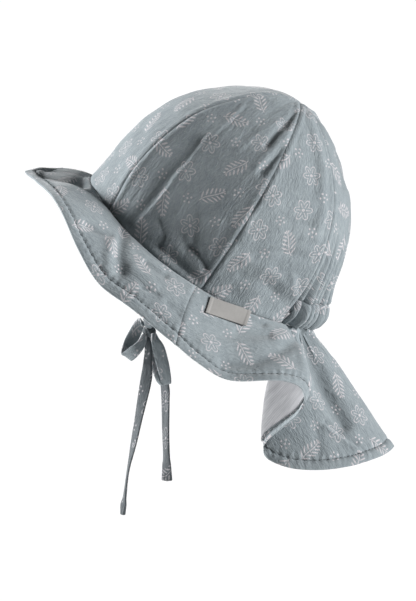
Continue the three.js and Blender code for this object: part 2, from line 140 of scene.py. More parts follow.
TIE_WIDTH = 8.5
TIE_CLOTH = 1.4
TIE_ANGLE = 68
TIE_SEWN_HEIGHT = 9
TIE_EDGE_HEIGHT = 1
TIE_CLEARANCE = 0.8
KNOT_FORWARD = 34.5
KNOT_DROP = 54.6
KNOT_SIZE = 9
LOOP_LEFT = 20
LOOP_RIGHT = 34
TAIL_FRONT = 121
TAIL_BACK = 98
print("ties:", TIE_WIDTH, "x", TIE_CLOTH, "mm")

# %% [markdown]
# Three short tables give the rest of the shape, as shares of those sizes. The crown's profile says
# how far it reaches forwards and backwards at each height. Each row of the two hem tables says
# where the cloth that hangs under one angle of the band ends, to the side, back and up, and how it
# bows on the way. The brim's rows come first, and the flap's follow.


# %% Crown profile and hem rows
def table(names, rows):
    names = names.split()
    return [dict(zip(names, row)) for row in rows]


CROWN_PROFILE = table("up front back", [
    (0, 1, 1),
    (0.18, 0.995, 0.97),
    (0.34, 0.975, 0.95),
    (0.5, 0.91, 0.885),
    (0.655, 0.805, 0.775),
    (0.764, 0.675, 0.645),
    (0.874, 0.49, 0.465),
    (0.951, 0.305, 0.29),
    (0.988, 0.15, 0.14),
    (1, 0, 0),
])
BRIM_HEM = table("angle side back up arch lean", [
    (0, 0, -0.86, 0.09, 0.1, 0),
    (10, 0.235, -0.77, 0.08, 0.1, 0),
    (20, 0.437, -0.69, 0.1, 0.1, 0),
    (32, 0.592, -0.645, 0.17, 0.11, 0),
    (45, 0.687, -0.613, 0.153, 0.14, 0),
    (60, 0.729, -0.62, -0.09, 0.2, 0),
    (72, 0.723, -0.6, -0.31, 0.25, 0),
    (84, 0.719, -0.45, -0.42, 0.26, 0),
    (96, 0.738, -0.23, -0.64, 0.2, 0),
    (106, 0.767, -0.14, -0.77, 0.06, 0),
    (118, 0.8, -0.045, -0.83, -0.06, 0),
    (130, 0.775, 0.21, -0.735, -0.04, 0.05),
    (136, 0.76, 0.27, -0.705, 0, 0.16),
    (140.5, 0.69, 0.355, -0.755, 0.02, 0.3),
    (144.5, 0.635, 0.345, -0.875, 0.02, 0.34),
])
FLAP_HEM = table("angle side back up arch lean", [
    (146.5, 0.307, 0.155, -0.51, 0, 0.14),
    (148, 0.26, 0.093, -0.587, 0, 0.04),
    (149.5, 0.195, -0.022, -0.676, 0, -0.04),
    (151, 0.146, -0.139, -0.766, 0, -0.09),
    (153, 0.159, -0.168, -0.84, 0, -0.1),
    (156.5, 0.225, -0.137, -0.89, 0, -0.06),
    (161, 0.284, -0.019, -0.927, 0, -0.02),
    (165.5, 0.285, 0.161, -0.935, 0.01, 0),
    (169.5, 0.236, 0.322, -0.917, 0.01, 0),
    (173.5, 0.176, 0.442, -0.888, 0.02, 0),
    (177, 0.091, 0.537, -0.858, 0.02, 0),
    (180, 0, 0.578, -0.827, 0.02, 0),
])
print("hem rows from front to back:", len(BRIM_HEM) + len(FLAP_HEM))

# %% [markdown]
# A smooth curve through the rows of a table turns a few measured shares into a whole surface. The
# normal of a surface, which says where outside is, comes from two small steps on it.

# %% Curves through a table
SMALL_STEP = 1e-3
HALVINGS = 40


def smoothstep(value, low, high):
    share = np.clip((value - low) / (high - low), 0, 1)
    return share * share * (3 - 2 * share)


def length(vectors):
    return np.linalg.norm(vectors, axis=-1)


def bell(distance, width):
    """1 at no distance, about a third at the width, and next to nothing at twice the width."""
    return np.exp(-((distance / width) ** 2))


def smooth_at(values, t):
    """A Catmull-Rom curve through the values, read at a place t between them."""
    i = np.floor(t).astype(int)
    f = t - i
    a, b, c, d = (values[np.clip(i + k, 0, len(values) - 1)] for k in (-1, 0, 1, 2))
    return b + 0.5 * f * (c - a + f * (2 * a - 5 * b + 4 * c - d + f * (3 * (b - c) + d - a)))


def table_value(rows, key, t):
    return smooth_at(np.array([row[key] for row in rows], float), np.asarray(t, float))


def outward(surface, u, v):
    across = surface(u + SMALL_STEP, v) - surface(u - SMALL_STEP, v)
    upward = surface(u, v + SMALL_STEP) - surface(u, v - SMALL_STEP)
    normal = np.cross(across, upward)
    return normal / length(normal)[..., None]


def row_where(value, wanted, low, high):
    """Where a rising value reaches the wanted one, by halving the stretch it lies in."""
    for _ in range(HALVINGS):
        half = (low + high) / 2
        low, high = (half, high) if value(half) < wanted else (low, half)
    return low


print("crown's front at row 3:", table_value(CROWN_PROFILE, "front", 3), "of the band's")

# %% [markdown]
# The crown is an oval that shrinks with height. The head opening is tilted back, so the two
# directions that follow it, forwards in its plane and up out of it, are worked out first. The band
# dips a little at the sides, over the ears.

# %% Crown oval
tilt = np.radians(BAND_TILT)
HEAD_FORWARD = np.array([0, -np.cos(tilt), np.sin(tilt)])
CROWN_UP = np.array([0, np.sin(tilt), np.cos(tilt)])
LEFTWARD = np.array([1.0, 0, 0])


def band_dip(angle):
    return BAND_DIP * np.sin(np.radians(angle)) ** 2


def on_oval(angle, share, height):
    turn = np.radians(angle)
    side = HEAD_WIDTH / 2 * share * np.sin(turn)
    forward = HEAD_LENGTH / 2 * share * np.cos(turn)
    return side[..., None] * LEFTWARD + forward[..., None] * HEAD_FORWARD + height[..., None] * CROWN_UP


def crown_base(angle, row):
    front = table_value(CROWN_PROFILE, "front", row)
    back = table_value(CROWN_PROFILE, "back", row)
    share = back + (front - back) * (1 + np.cos(np.radians(angle))) / 2
    dip = band_dip(angle)
    return on_oval(angle, share, table_value(CROWN_PROFILE, "up", row) * (CROWN_HEIGHT + dip) - dip)


def crown_row_at(height):
    return row_where(lambda row: table_value(CROWN_PROFILE, "up", row), height / CROWN_HEIGHT, 0, 4)


casing_top = crown_row_at(CASING_HEIGHT)
print("casing ends at row", round(float(casing_top), 2), "of the crown's profile")

# %% [markdown]
# The brim and the neck flap are one sheet that hangs from the band. Its rows run from the front to
# the back on the left, and mirrored to the front again on the right, so a place t on the hem goes
# round the hat without an end.

# %% Hem all the way round
HEM = [dict(row, size=BRIM_WIDTH) for row in BRIM_HEM]
HEM += [dict(row, size=FLAP_LENGTH) for row in FLAP_HEM]
BACK_ROW = len(HEM) - 1
ROUND = 2 * BACK_ROW


def hem_column(key):
    values = []
    for i in range(-ROUND, 2 * ROUND + 1):
        lap, place = divmod(i, ROUND)
        mirrored = place > BACK_ROW
        row = HEM[ROUND - place if mirrored else place]
        if key == "angle":
            values.append(lap * 360 + (360 - row["angle"] if mirrored else row["angle"]))
        elif key == "side" and mirrored:
            values.append(-row["side"] * row["size"])
        else:
            values.append(row[key] * row["size"])
    return np.array(values, float)


HEM_COLUMNS = {key: hem_column(key) for key in ("angle", "side", "back", "up", "arch", "lean")}


def hem_value(key, t):
    return smooth_at(HEM_COLUMNS[key], np.asarray(t, float) + ROUND)


def hem_reach(t):
    return np.stack([hem_value(key, t) for key in ("side", "back", "up")], axis=-1)


brim_seam_row = row_where(lambda t: hem_value("angle", t), BRIM_SEAM, 0, BACK_ROW)
print("brim seam at row", round(brim_seam_row, 2), "of", ROUND)

# %% [markdown]
# Gathered cloth doesn't ripple like a wave. It puffs out between narrow creases, so a fold here is
# a rounded ridge with a sharp valley near the casing, and softens into a plain wave higher up.

# %% Gathers at the nape
RIDGE_POWER = 0.7
UNEVEN = 0.3
UNEVEN_RATE = 2.6
WANDER = 0.12
WANDER_RATE = 1.7
WANDER_START = 0.4
CRISP_UP_TO = 2.5 * CASING_HEIGHT


def gather(angle, height):
    across = 1 - np.abs(angle - 180) / (180 - REAR_SEAM)
    taper = smoothstep(across, 0, PLEAT_TAPER)
    fade = 1 - smoothstep(height, CASING_HEIGHT, PLEAT_FADE)
    turn = PLEATS * (angle - 180) / (2 * (180 - REAR_SEAM))
    turn = turn + WANDER * np.sin(WANDER_RATE * turn + WANDER_START)
    crisp = 2 * np.abs(np.cos(np.pi * turn)) ** RIDGE_POWER - 1
    soft = np.cos(2 * np.pi * turn)
    blend = smoothstep(height, CASING_HEIGHT, CRISP_UP_TO)
    uneven = 1 + UNEVEN * np.sin(UNEVEN_RATE * turn + 1)
    return PLEAT_DEPTH * uneven * taper * fade * (crisp + (soft - crisp) * blend)


print("highest gather:", round(float(gather(np.linspace(150, 210, 600), np.zeros(600)).max()), 2), "mm")

# %% [markdown]
# A gore is flatter than the oval between its seams, because cloth bends one way at a time. The
# hanging sheet starts at the band and bows on its way to the hem, as a curve with one control
# point does, and the gathers of the nape run out into it.


# %% Gore and hanging sheet
def crown_surface(start, end):
    """The gore's own surface, from seam to seam and from the band to the top."""
    half = (end - start) / 2

    def surface(angle, row):
        height = table_value(CROWN_PROFILE, "up", row) * CROWN_HEIGHT
        chord = np.cos(np.radians(half)) / np.cos(np.radians(angle - start - half))
        flat = GORE_FLATNESS * smoothstep(height, 0, GORE_FLAT_FROM) * (chord - 1 + SEAM_SPREAD)
        point = crown_base(angle, row)
        centre = (point @ CROWN_UP)[..., None] * CROWN_UP
        return point + (point - centre) * flat[..., None]

    return surface


def sheet_point(t, drop):
    angle = hem_value("angle", t)
    root = on_oval(angle, np.ones_like(angle), -band_dip(angle) - CLOTH / 2)
    reach = hem_reach(t)
    bow = reach / 2
    bow[..., 2] += hem_value("arch", t)
    bow[..., 1] += hem_value("lean", t)
    away = on_oval(angle, np.ones_like(angle), np.zeros_like(angle))
    away = away / length(away)[..., None]
    gathered = gather(angle, np.zeros_like(angle)) * (1 - drop) ** GATHER_FADE_POWER
    bend = (2 * drop * (1 - drop))[..., None] * bow
    return root + gathered[..., None] * away + bend + (drop * drop)[..., None] * reach


print("hem at the middle of the front:", np.round(sheet_point(np.array(0.0), np.array(1.0)), 1), "mm")

# %% [markdown]
# Creases and dents are drawn where the picture shows them, on the hat's side view: millimetres
# across and up from the middle of the head opening. Each has its width, its height and its path. A
# positive height is a ridge and a negative one a dent. The far side carries the same folds.

# %% Folds of the crown
FOLD = "width height path"
FOLDS = {
    "side_gore": table(FOLD, [
        (1.1, 0.9, [(-43, 15), (-31, 31), (-17, 49.5), (-8, 59.5), (3, 74), (19, 87.5), (29, 97.5)]),
        (4, -1.2, [(-46, 17), (-35, 31), (-21, 50), (-10, 62), (0, 74)]),
        (2.5, -1, [(-28, 20), (-23, 8)]),
        (2, 0.8, [(-19, 9), (-23, 0)]),
        (2.5, -0.9, [(-12, 9), (-10, 0)]),
        (4, 1.1, [(3, -3), (12, 18)]),
        (4, -1, [(-4, 4), (-1, 22)]),
        (2.2, -1.8, [(-8, 2), (-1, -2), (5, -12)]),
        (4, -2, [(-26, 2), (-12, -12), (0, -26)]),
        (3, -1.8, [(64, 92), (51, 78), (46, 71)]),
        (3, -1.8, [(57, 68), (46, 57), (41, 53)]),
        (3, 1.2, [(56, 78), (47, 66), (38, 56)]),
        (3, 0.8, [(51, 86), (40, 79), (26, 69)]),
    ]),
    "rear_gore": table(FOLD, [
        (3, 1.6, [(73.5, 89), (79, 69), (82, 55), (82, 45), (82, 26), (78, 8)]),
        (4, 1, [(30, -6), (45, -12), (58, -24)]),
        (3, -0.8, [(28, -17), (42, -22), (54, -32)]),
        (2.5, 1.2, [(62, -19), (63, -31)]),
        (4.5, 1, [(38, 30), (58, 34), (75, 30)]),
        (3.5, -1.1, [(34, 20), (56, 21), (72, 18)]),
        (3.5, 1, [(30, 8), (54, 12), (74, 10)]),
        (3, -1, [(28, -2), (50, 0), (70, -4)]),
    ]),
    "back_gore": table(FOLD, [
        (3.2, -2.6, [(76, 90), (81, 73), (85, 63), (86.5, 50), (85, 30)]),
        (2.5, -1.5, [(93, 66), (96, 56), (97, 42)]),
    ]),
    "front_gore": table(FOLD, [
        (5, -0.8, [(-66, 52), (-54, 64), (-40, 80)]),
        (2.5, -1.4, [(-54, 30), (-47, 41)]),
        (1.4, 0.9, [(-57.5, 31), (-50, 42)]),
        (1.6, -1, [(-49, 29), (-42, 42)]),
    ]),
}
print("folds on the crown:", sum(len(folds) for folds in FOLDS.values()))

# %% [markdown]
# The brim is bent where the head's curve pulls at it, and the flap has one strong ridge with a
# valley behind it, where it falls free of the casing.

# %% Folds of the brim and the flap
FOLDS |= {
    "brim": table(FOLD, [
        (4, -3.2, [(-105, 51), (-92, 49), (-78, 46)]),
        (1.6, -1.4, [(-84, 47), (-75, 44)]),
        (3, 1.5, [
            (-111, 48), (-90, 43.5), (-72, 34), (-55, 21), (-36, 7.5), (-19, -7), (-8, -19), (-1, -28)]),
        (3.5, -2.4, [(-19, -3), (-8, -14), (1, -26)]),
        (3, -1.8, [(-75, 16), (-60, 9.5)]),
        (4.2, -2.6, [(-50, 12), (-52, 4), (-53, -4), (-52, -14)]),
        (3, 1.2, [(-59, 6), (-61, -4), (-61, -14)]),
        (2.4, -1.6, [(-36, -8.5), (-23, -17)]),
        (1.6, -1.3, [(-38, -25), (-28, -29.5)]),
        (3, -1.2, [(-21, -36), (-8, -46.5)]),
        (3, 0.9, [(-45, -12), (-30, -24)]),
    ]),
    "flap": table(FOLD, [
        (2.6, 1.6, [(64, -52), (66.5, -61), (69, -75), (71.5, -85), (73, -97)]),
        (5, -4.4, [(71, -54), (74.5, -66), (77.5, -75), (83, -90), (91, -106), (97, -117)]),
        (1.2, 1, [(83, -118), (93, -125.5), (105, -133)]),
        (1.8, -1.2, [(84, -115), (94, -122.5), (105, -130)]),
        (1.4, 0.8, [(88, -93.5), (97, -99.5), (104, -105)]),
        (2.5, -1.4, [(34, -44.5), (42, -49)]),
        (3, -1.2, [(25, -54), (45, -57)]),
        (4, -1.6, [(15.5, -75), (34, -75.5), (53, -68), (64, -60)]),
        (4, 1, [(2, -62), (34, -63), (52, -60)]),
        (4, -1, [(78, -118), (80, -134)]),
    ]),
}
print("folds in all:", sum(len(folds) for folds in FOLDS.values()))

# %% [markdown]
# A fold raises or sinks the cloth along its path and fades to each side over its width, and a deep
# crease is painted darker, as shade, than the open cloth. Between the drawn folds the cloth swells a
# little and irregularly, as worn cotton does.

# %% Relief of the folds
CREASE_SHADE = 0.3
SHADED_DEPTHS = (0.3, 2.6)
SWELLINGS = 6
SWELLING_RATES = (0.7, 1.4)


def side_view(points):
    near = points.copy()
    near[..., 0] = np.abs(near[..., 0])
    return near @ picture_across, near @ picture_up


def fold_lift(points, folds):
    across, up = side_view(points)
    lift = np.zeros_like(across)
    for fold in folds:
        nearest = np.full_like(across, np.inf)
        for (a0, u0), (a1, u1) in zip(fold["path"], fold["path"][1:]):
            run = np.array([a1 - a0, u1 - u0], float)
            share = ((across - a0) * run[0] + (up - u0) * run[1]) / (run @ run)
            share = np.clip(share, 0, 1)
            nearest = np.minimum(nearest, np.hypot(across - a0 - share * run[0], up - u0 - share * run[1]))
        lift += fold["height"] * bell(nearest, fold["width"])
    return lift


def fold_shade(lift):
    """Painted shade in creases, the darker the deeper they are."""
    return CREASE_SHADE * smoothstep(-lift, *SHADED_DEPTHS)


def soft_waves(points, size, seed):
    """Low, irregular swellings about `size` mm apart, the same on every run."""
    draw = np.random.default_rng(seed)
    lift = np.zeros(points.shape[:-1])
    for _ in range(SWELLINGS):
        way = draw.normal(size=3)
        way *= draw.uniform(*SWELLING_RATES) * 2 * np.pi / size / np.linalg.norm(way)
        lift += np.sin(points @ way + draw.uniform(0, 2 * np.pi)) / SWELLINGS
    return lift


print("swelling at the top of the crown:", round(float(soft_waves(CROWN_UP * CROWN_HEIGHT, 26, 1)), 2))

# %% [markdown]
# A modifier is added with its settings and applied at once, so that every piece ends as a plain
# mesh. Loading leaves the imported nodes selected, so everything is deselected before a new
# primitive is added.


# %% Selection and modifiers
def clear_selection():
    bpy.ops.object.select_all(action="DESELECT")


def apply_modifier(piece, kind, **settings):
    modifier = piece.modifiers.new(kind.title(), kind)
    for key, value in settings.items():
        setattr(modifier, key, value)
    bpy.ops.object.modifier_apply(modifier=modifier.name)


# %% [markdown]
# A print has to keep its size on the cloth, so the UV map is the flat cloth in millimetres. On a
# gore the distances along its rows and up its columns give it. The brim and the flap are fans, so
# they are unrolled strip by strip, each new corner found from its distances to the last two.


# %% Flat cloth
def spread_out(points):
    """Where each point lies on the flat cloth: distances along its row and up its column."""
    along = np.cumsum(length(np.diff(points, axis=1)), axis=1)
    along = np.concatenate([np.zeros((len(points), 1)), along], axis=1)
    along -= along[:, [points.shape[1] // 2]]
    climb = np.cumsum(length(np.diff(points, axis=0)), axis=0)
    climb = np.concatenate([np.zeros((1, points.shape[1])), climb], axis=0)
    return np.stack([along, climb], axis=-1)


def meet(p, q, from_p, from_q):
    """The point at two distances from p and q, on the right of the way from p up to q."""
    way = (q - p) / np.linalg.norm(q - p)
    ahead = (from_p ** 2 - from_q ** 2 + np.linalg.norm(q - p) ** 2) / (2 * np.linalg.norm(q - p))
    aside = np.sqrt(max(from_p ** 2 - ahead ** 2, 0))
    return p + way * ahead + np.array([way[1], -way[0]]) * aside


def unroll(points):
    """Unrolls a fan of cloth strip by strip, as it was cut, with its middle column upright."""
    hem, root = points[0], points[-1]
    low = [np.zeros(2)]
    high = [np.array([0, np.linalg.norm(root[0] - hem[0])])]
    for i in range(1, points.shape[1]):
        step_root = np.linalg.norm(root[i] - root[i - 1])
        across = np.linalg.norm(root[i] - hem[i - 1])
        high.append(meet(low[-1], high[-1], across, step_root))
        step_hem = np.linalg.norm(hem[i] - hem[i - 1])
        low.append(meet(low[-1], high[-1], step_hem, np.linalg.norm(root[i] - hem[i])))
    low, high = np.array(low), np.array(high)
    climb = spread_out(points)[..., 1]
    share = (climb / climb[-1])[..., None]
    flat = low + (high - low) * share
    mid = points.shape[1] // 2
    up = (high[mid] - low[mid]) / np.linalg.norm(high[mid] - low[mid])
    turn = np.array([[up[1], up[0]], [-up[0], up[1]]])
    return (flat - low[mid]) @ turn


print("corner 3 from one point and 5 from another 4 above it:", meet(np.zeros(2), np.array([0, 4.0]), 3, 5))

# %% [markdown]
# Every cloth piece starts as a primitive grid. Its vertices are laid on the piece's surface, its
# UV map is the flat cloth, and an attribute says how much shade is painted at each vertex.


# %% Grid laid on a surface
def grid_piece(name, columns, rows, place, uv_shift=(0, 0), flatten=None):
    """A grid whose vertices are laid on place(across, up), with flat cloth as its UV map."""
    clear_selection()
    bpy.ops.mesh.primitive_grid_add(x_subdivisions=columns, y_subdivisions=rows, size=1)
    piece = bpy.context.object
    piece.name = name + "_cloth"
    mesh = piece.data
    mesh.name = piece.name
    flat = np.empty(3 * len(mesh.vertices))
    mesh.vertices.foreach_get("co", flat)
    across, up = flat.reshape(-1, 3)[:, 0] + 0.5, flat.reshape(-1, 3)[:, 1] + 0.5
    order = np.lexsort((np.round(across, 6), np.round(up, 6)))
    wide = len(np.unique(np.round(across, 6)))
    points, shade = place(across[order].reshape(-1, wide), up[order].reshape(-1, wide))
    flat_cloth = (flatten or spread_out)(points)
    placed = np.empty((len(order), 3))
    placed[order] = points.reshape(-1, 3) * MM
    mesh.vertices.foreach_set("co", placed.ravel())
    pattern = np.empty((len(order), 2))
    pattern[order] = flat_cloth.reshape(-1, 2) + np.array(uv_shift)
    shaded = np.empty(len(order))
    shaded[order] = np.broadcast_to(shade, points.shape[:-1]).ravel()
    # The shade painted into the colour at seams, stitch lines, creases and gathers.
    mesh.attributes.new("painted_shade", "FLOAT", "POINT").data.foreach_set("value", shaded)
    corners = np.empty(len(mesh.loops), int)
    mesh.loops.foreach_get("vertex_index", corners)
    mesh.uv_layers[0].data.foreach_set("uv", pattern[corners].ravel())
    mesh.update()
    across_edges = np.diff(points, axis=1)[:-1]
    up_edges = np.diff(points, axis=0)[:, :-1]
    piece["cut_area"] = float(length(np.cross(across_edges, up_edges)).sum() * MM * MM)
    reach = np.ptp(flat_cloth.reshape(-1, 2), axis=0) * MM
    piece["cut_width"], piece["cut_length"] = float(reach[0]), float(reach[1])
    return piece


# %% [markdown]
# Solidify gives the cloth its thickness and a small bevel rounds its cut edges. The piece then
# rides on the hat's one body and gets its material, and the solid it stands for is hidden. Its flat
# size, kept with the grid, is that of the cloth before it was sewn, and its area is the cloth's.

# %% Thickness and material
EDGE_ROUNDING = 0.5
EDGE_ANGLE = 55
SMOOTH_ANGLE = 60


def thicken(piece, thickness):
    apply_modifier(piece, "SOLIDIFY", thickness=thickness * MM, offset=0, use_even_offset=False)
    apply_modifier(
        piece, "BEVEL", width=min(EDGE_ROUNDING, thickness / 3) * MM, segments=2,
        limit_method="ANGLE", angle_limit=np.radians(EDGE_ANGLE))
    bpy.ops.object.shade_smooth_by_angle(angle=np.radians(SMOOTH_ANGLE))


def dress(piece, material, node=None):
    piece.data.materials.clear()
    piece.data.materials.append(material)
    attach(piece, "root")
    if node:
        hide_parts(node)
    print(piece.name, len(piece.data.polygons), "faces")


# %% [markdown]
# Materials are small node trees. One function turns an sRGB hex colour to linear, because that is
# what the shaders count in, and one adds a node with its settings and links. Inputs that share a
# name are told apart by number: on a Mix node 0 is the share, 2 and 3 are plain values to mix, and
# 6 and 7 are colours. Noise hardly ever leaves NOISE_SPREAD, so that range is stretched to the full
# tone.

# %% Colour and nodes
TEXTURE_UV = 2
TEXTURE_OBJECT = 3
COLOUR_MIX = {"out": 2, "data_type": "RGBA"}
NOISE_SPREAD = (0.3, 0.7)


def colour(code):
    parts = [int(code[i:i + 2], 16) / 255 for i in (1, 3, 5)]
    linear = [p / 12.92 if p <= 0.04045 else ((p + 0.055) / 1.055) ** 2.4 for p in parts]
    return (*linear, 1)


def add(tree, kind, *values, named=None, out=0, **settings):
    """Adds a node, sets or links its inputs, and returns one of its outputs, or else the node.

    "Math.ADD" is the Math node set to ADD. Values fill the inputs in their order, and named ones
    go to the input with that name or number.
    """
    kind, _, operation = kind.partition(".")
    node = tree.nodes.new("ShaderNode" + kind)
    if operation:
        node.operation = operation
    for key, value in settings.items():
        setattr(node, key, value)
    for key, value in [*enumerate(values), *(named or {}).items()]:
        if isinstance(value, bpy.types.NodeSocket):
            tree.links.new(value, node.inputs[key])
        else:
            node.inputs[key].default_value = value
    return node if out is None else node.outputs[out]


def new_material(name, **principled):
    material = bpy.data.materials.new(name)
    material.use_nodes = True
    tree = material.node_tree
    shader = tree.nodes["Principled BSDF"]
    for key, value in principled.items():
        shader.inputs[key.replace("_", " ")].default_value = value
    return material, tree, shader


print("the cloth's blue, linear:", [round(part, 3) for part in colour("#828b90")])

# %% [markdown]
# The print is this hat's own: a small six-petalled flower, a twig with paired leaflets and a ring
# of dots. Each sits in a square of its own on the cloth, turned at random, as on a ditsy print.
# Everything is measured in millimetres on the UV map. A line of ink is drawn wherever the distance
# to it is small enough, with a soft edge, because ink bleeds a little into cotton.

# %% Squares and ink of the print
MOTIF_CELL = 25
INK_LINE = 0.3
INK_EDGE = 0.35


def cells(tree, uv, stagger, seed):
    """Squares of cloth: place inside the square, turned at random, and another random number."""
    moved = add(tree, "VectorMath.ADD", uv, stagger)
    scaled = add(tree, "VectorMath.SCALE", moved, named={"Scale": 1 / MOTIF_CELL})
    corner = add(tree, "VectorMath.FLOOR", scaled)
    inside = add(tree, "VectorMath.SUBTRACT", scaled, corner)
    centred = add(tree, "VectorMath.SUBTRACT", inside, (0.5, 0.5, 0))
    local = add(tree, "VectorMath.SCALE", centred, named={"Scale": MOTIF_CELL})
    seeded = add(tree, "VectorMath.ADD", corner, (0.5, 0.5, seed))
    draw = add(tree, "TexWhiteNoise", seeded, out=1, noise_dimensions="3D")
    numbers = add(tree, "SeparateColor", draw, out=None).outputs
    turn = add(tree, "Math.MULTIPLY", numbers[0], 2 * np.pi)
    turned = add(tree, "VectorRotate", named={"Vector": local, "Angle": turn}, rotation_type="Z_AXIS")
    axes = add(tree, "SeparateXYZ", turned, out=None).outputs
    return axes[0], axes[1], numbers[1]


def ink(tree, distance, reach=INK_LINE):
    """1 where the distance is inside the line, falling softly to 0 at its edge."""
    near, far = reach - INK_EDGE / 2, reach + INK_EDGE / 2
    return add(tree, "MapRange", distance, near, far, 1, 0, interpolation_type="SMOOTHSTEP")


def from_middle(tree, x, y):
    """How far a place is from the middle."""
    squares = add(tree, "Math.ADD", add(tree, "Math.MULTIPLY", x, x), add(tree, "Math.MULTIPLY", y, y))
    return add(tree, "Math.SQRT", squares)


print("squares of the print:", MOTIF_CELL, "mm")

# %% [markdown]
# The flower's outline is a rose curve: its distance from the heart swings between nothing and the
# full reach six times in a turn. A vein runs down the middle of each petal.

# %% Flower
PETAL_REACH = 7.0
PETAL_PAIRS = 3
PETAL_LINE = 0.34
VEIN_LINE = 0.24
VEIN_SHARE = 0.22
HEART_SHARE = 0.15


def flower(tree, x, y):
    radius = from_middle(tree, x, y)
    turn = add(tree, "Math.MULTIPLY", add(tree, "Math.ARCTAN2", y, x), PETAL_PAIRS)
    petal = add(tree, "Math.ABSOLUTE", add(tree, "Math.COSINE", turn))
    edge = add(tree, "Math.MULTIPLY_ADD", petal, PETAL_REACH / 2, PETAL_REACH / 2)
    to_edge = add(tree, "Math.ABSOLUTE", add(tree, "Math.SUBTRACT", radius, edge))
    aside = add(tree, "Math.MULTIPLY", add(tree, "Math.ABSOLUTE", add(tree, "Math.SINE", turn)), radius)
    vein = ink(tree, add(tree, "Math.DIVIDE", aside, PETAL_PAIRS), VEIN_LINE)
    along_petal = add(tree, "Math.COMPARE", radius, PETAL_REACH / 2, PETAL_REACH * VEIN_SHARE)
    vein = add(tree, "Math.MULTIPLY", vein, along_petal)
    lines = add(tree, "Math.MAXIMUM", ink(tree, to_edge, PETAL_LINE), vein)
    return add(tree, "Math.MAXIMUM", lines, ink(tree, radius, PETAL_REACH * HEART_SHARE))


print("flower:", 2 * PETAL_REACH, "mm across")

# %% [markdown]
# The twig's stem is a shallow wave. Leaflets grow from it in slanted pairs, so each is an oval in
# coordinates that slant with them, and the pairs get smaller towards both tips.

# %% Twig
TWIG_REACH = 9.5
TWIG_BEND = 0.9
TWIG_BEND_RATE = 0.25
LEAFLET_STEP = 3.1
LEAFLET_SLANT = 0.75
LEAFLET_MIDDLE = 2.9
LEAFLET_HALF_LENGTH = 2.3
LEAFLET_HALF_WIDTH = 0.8
LEAFLET_FILL = 0.85
MIDDLE_SIZE = 1.05
TIP_LOSS = 0.75


def twig(tree, x, y):
    wave = add(tree, "Math.SINE", add(tree, "Math.MULTIPLY", y, TWIG_BEND_RATE))
    bend = add(tree, "Math.MULTIPLY", wave, TWIG_BEND)
    aside = add(tree, "Math.ABSOLUTE", add(tree, "Math.SUBTRACT", x, bend))
    tip = add(tree, "Math.DIVIDE", add(tree, "Math.ABSOLUTE", y), TWIG_REACH)
    within = add(tree, "Math.LESS_THAN", tip, 1)
    stem = add(tree, "Math.MULTIPLY", ink(tree, aside), within)
    loss = add(tree, "Math.MULTIPLY", add(tree, "Math.MULTIPLY", tip, tip), TIP_LOSS)
    size = add(tree, "Math.SUBTRACT", MIDDLE_SIZE, loss)
    slant = add(tree, "Math.SUBTRACT", y, add(tree, "Math.MULTIPLY", aside, LEAFLET_SLANT))
    step = add(tree, "Math.FLOORED_MODULO", slant, LEAFLET_STEP)
    wide = add(tree, "Math.DIVIDE", add(tree, "Math.SUBTRACT", step, LEAFLET_STEP / 2), LEAFLET_HALF_WIDTH)
    out = add(tree, "Math.SUBTRACT", add(tree, "Math.DIVIDE", aside, size), LEAFLET_MIDDLE)
    long = add(tree, "Math.DIVIDE", out, LEAFLET_HALF_LENGTH)
    leaflet = add(tree, "Math.MULTIPLY", ink(tree, from_middle(tree, long, wide), LEAFLET_FILL), within)
    return add(tree, "Math.MAXIMUM", stem, leaflet)


print("twig:", 2 * TWIG_REACH, "mm long")

# %% [markdown]
# The dots lie on a ring round one more dot. Turning every place into the same fifth of the ring
# draws all of them with one. Flowers and twigs take turns at random in their squares, and the dot
# rings fill most of the corners between them.

# %% Dots and the whole print
DOTS = 5
DOT_RING = 2.9
DOT_SIZE = 0.7
FLOWER_SHARE = 0.5
BARE_SHARE = 0.25
MOTIF_SEED = 3.0
DOT_SEED = 8.0


def dot_ring(tree, x, y):
    radius = from_middle(tree, x, y)
    step = 2 * np.pi / DOTS
    turn = add(tree, "Math.FLOORED_MODULO", add(tree, "Math.ARCTAN2", y, x), step)
    turn = add(tree, "Math.SUBTRACT", turn, step / 2)
    forward = add(tree, "Math.MULTIPLY", radius, add(tree, "Math.COSINE", turn))
    forward = add(tree, "Math.SUBTRACT", forward, DOT_RING)
    aside = add(tree, "Math.MULTIPLY", radius, add(tree, "Math.SINE", turn))
    ring = ink(tree, from_middle(tree, forward, aside), DOT_SIZE)
    return add(tree, "Math.MAXIMUM", ring, ink(tree, radius, DOT_SIZE))


def print_ink(tree, uv):
    x, y, choice = cells(tree, uv, (0, 0, 0), MOTIF_SEED)
    pick = add(tree, "Math.GREATER_THAN", choice, FLOWER_SHARE)
    motifs = {0: pick, 2: flower(tree, x, y), 3: twig(tree, x, y)}
    main = add(tree, "Mix", named=motifs, data_type="FLOAT")
    x, y, choice = cells(tree, uv, (MOTIF_CELL / 2, MOTIF_CELL / 2, 0), DOT_SEED)
    some = add(tree, "Math.GREATER_THAN", choice, BARE_SHARE)
    filler = add(tree, "Math.MULTIPLY", dot_ring(tree, x, y), some)
    return add(tree, "Math.MAXIMUM", main, filler)


print("dot ring:", 2 * (DOT_RING + DOT_SIZE), "mm across")
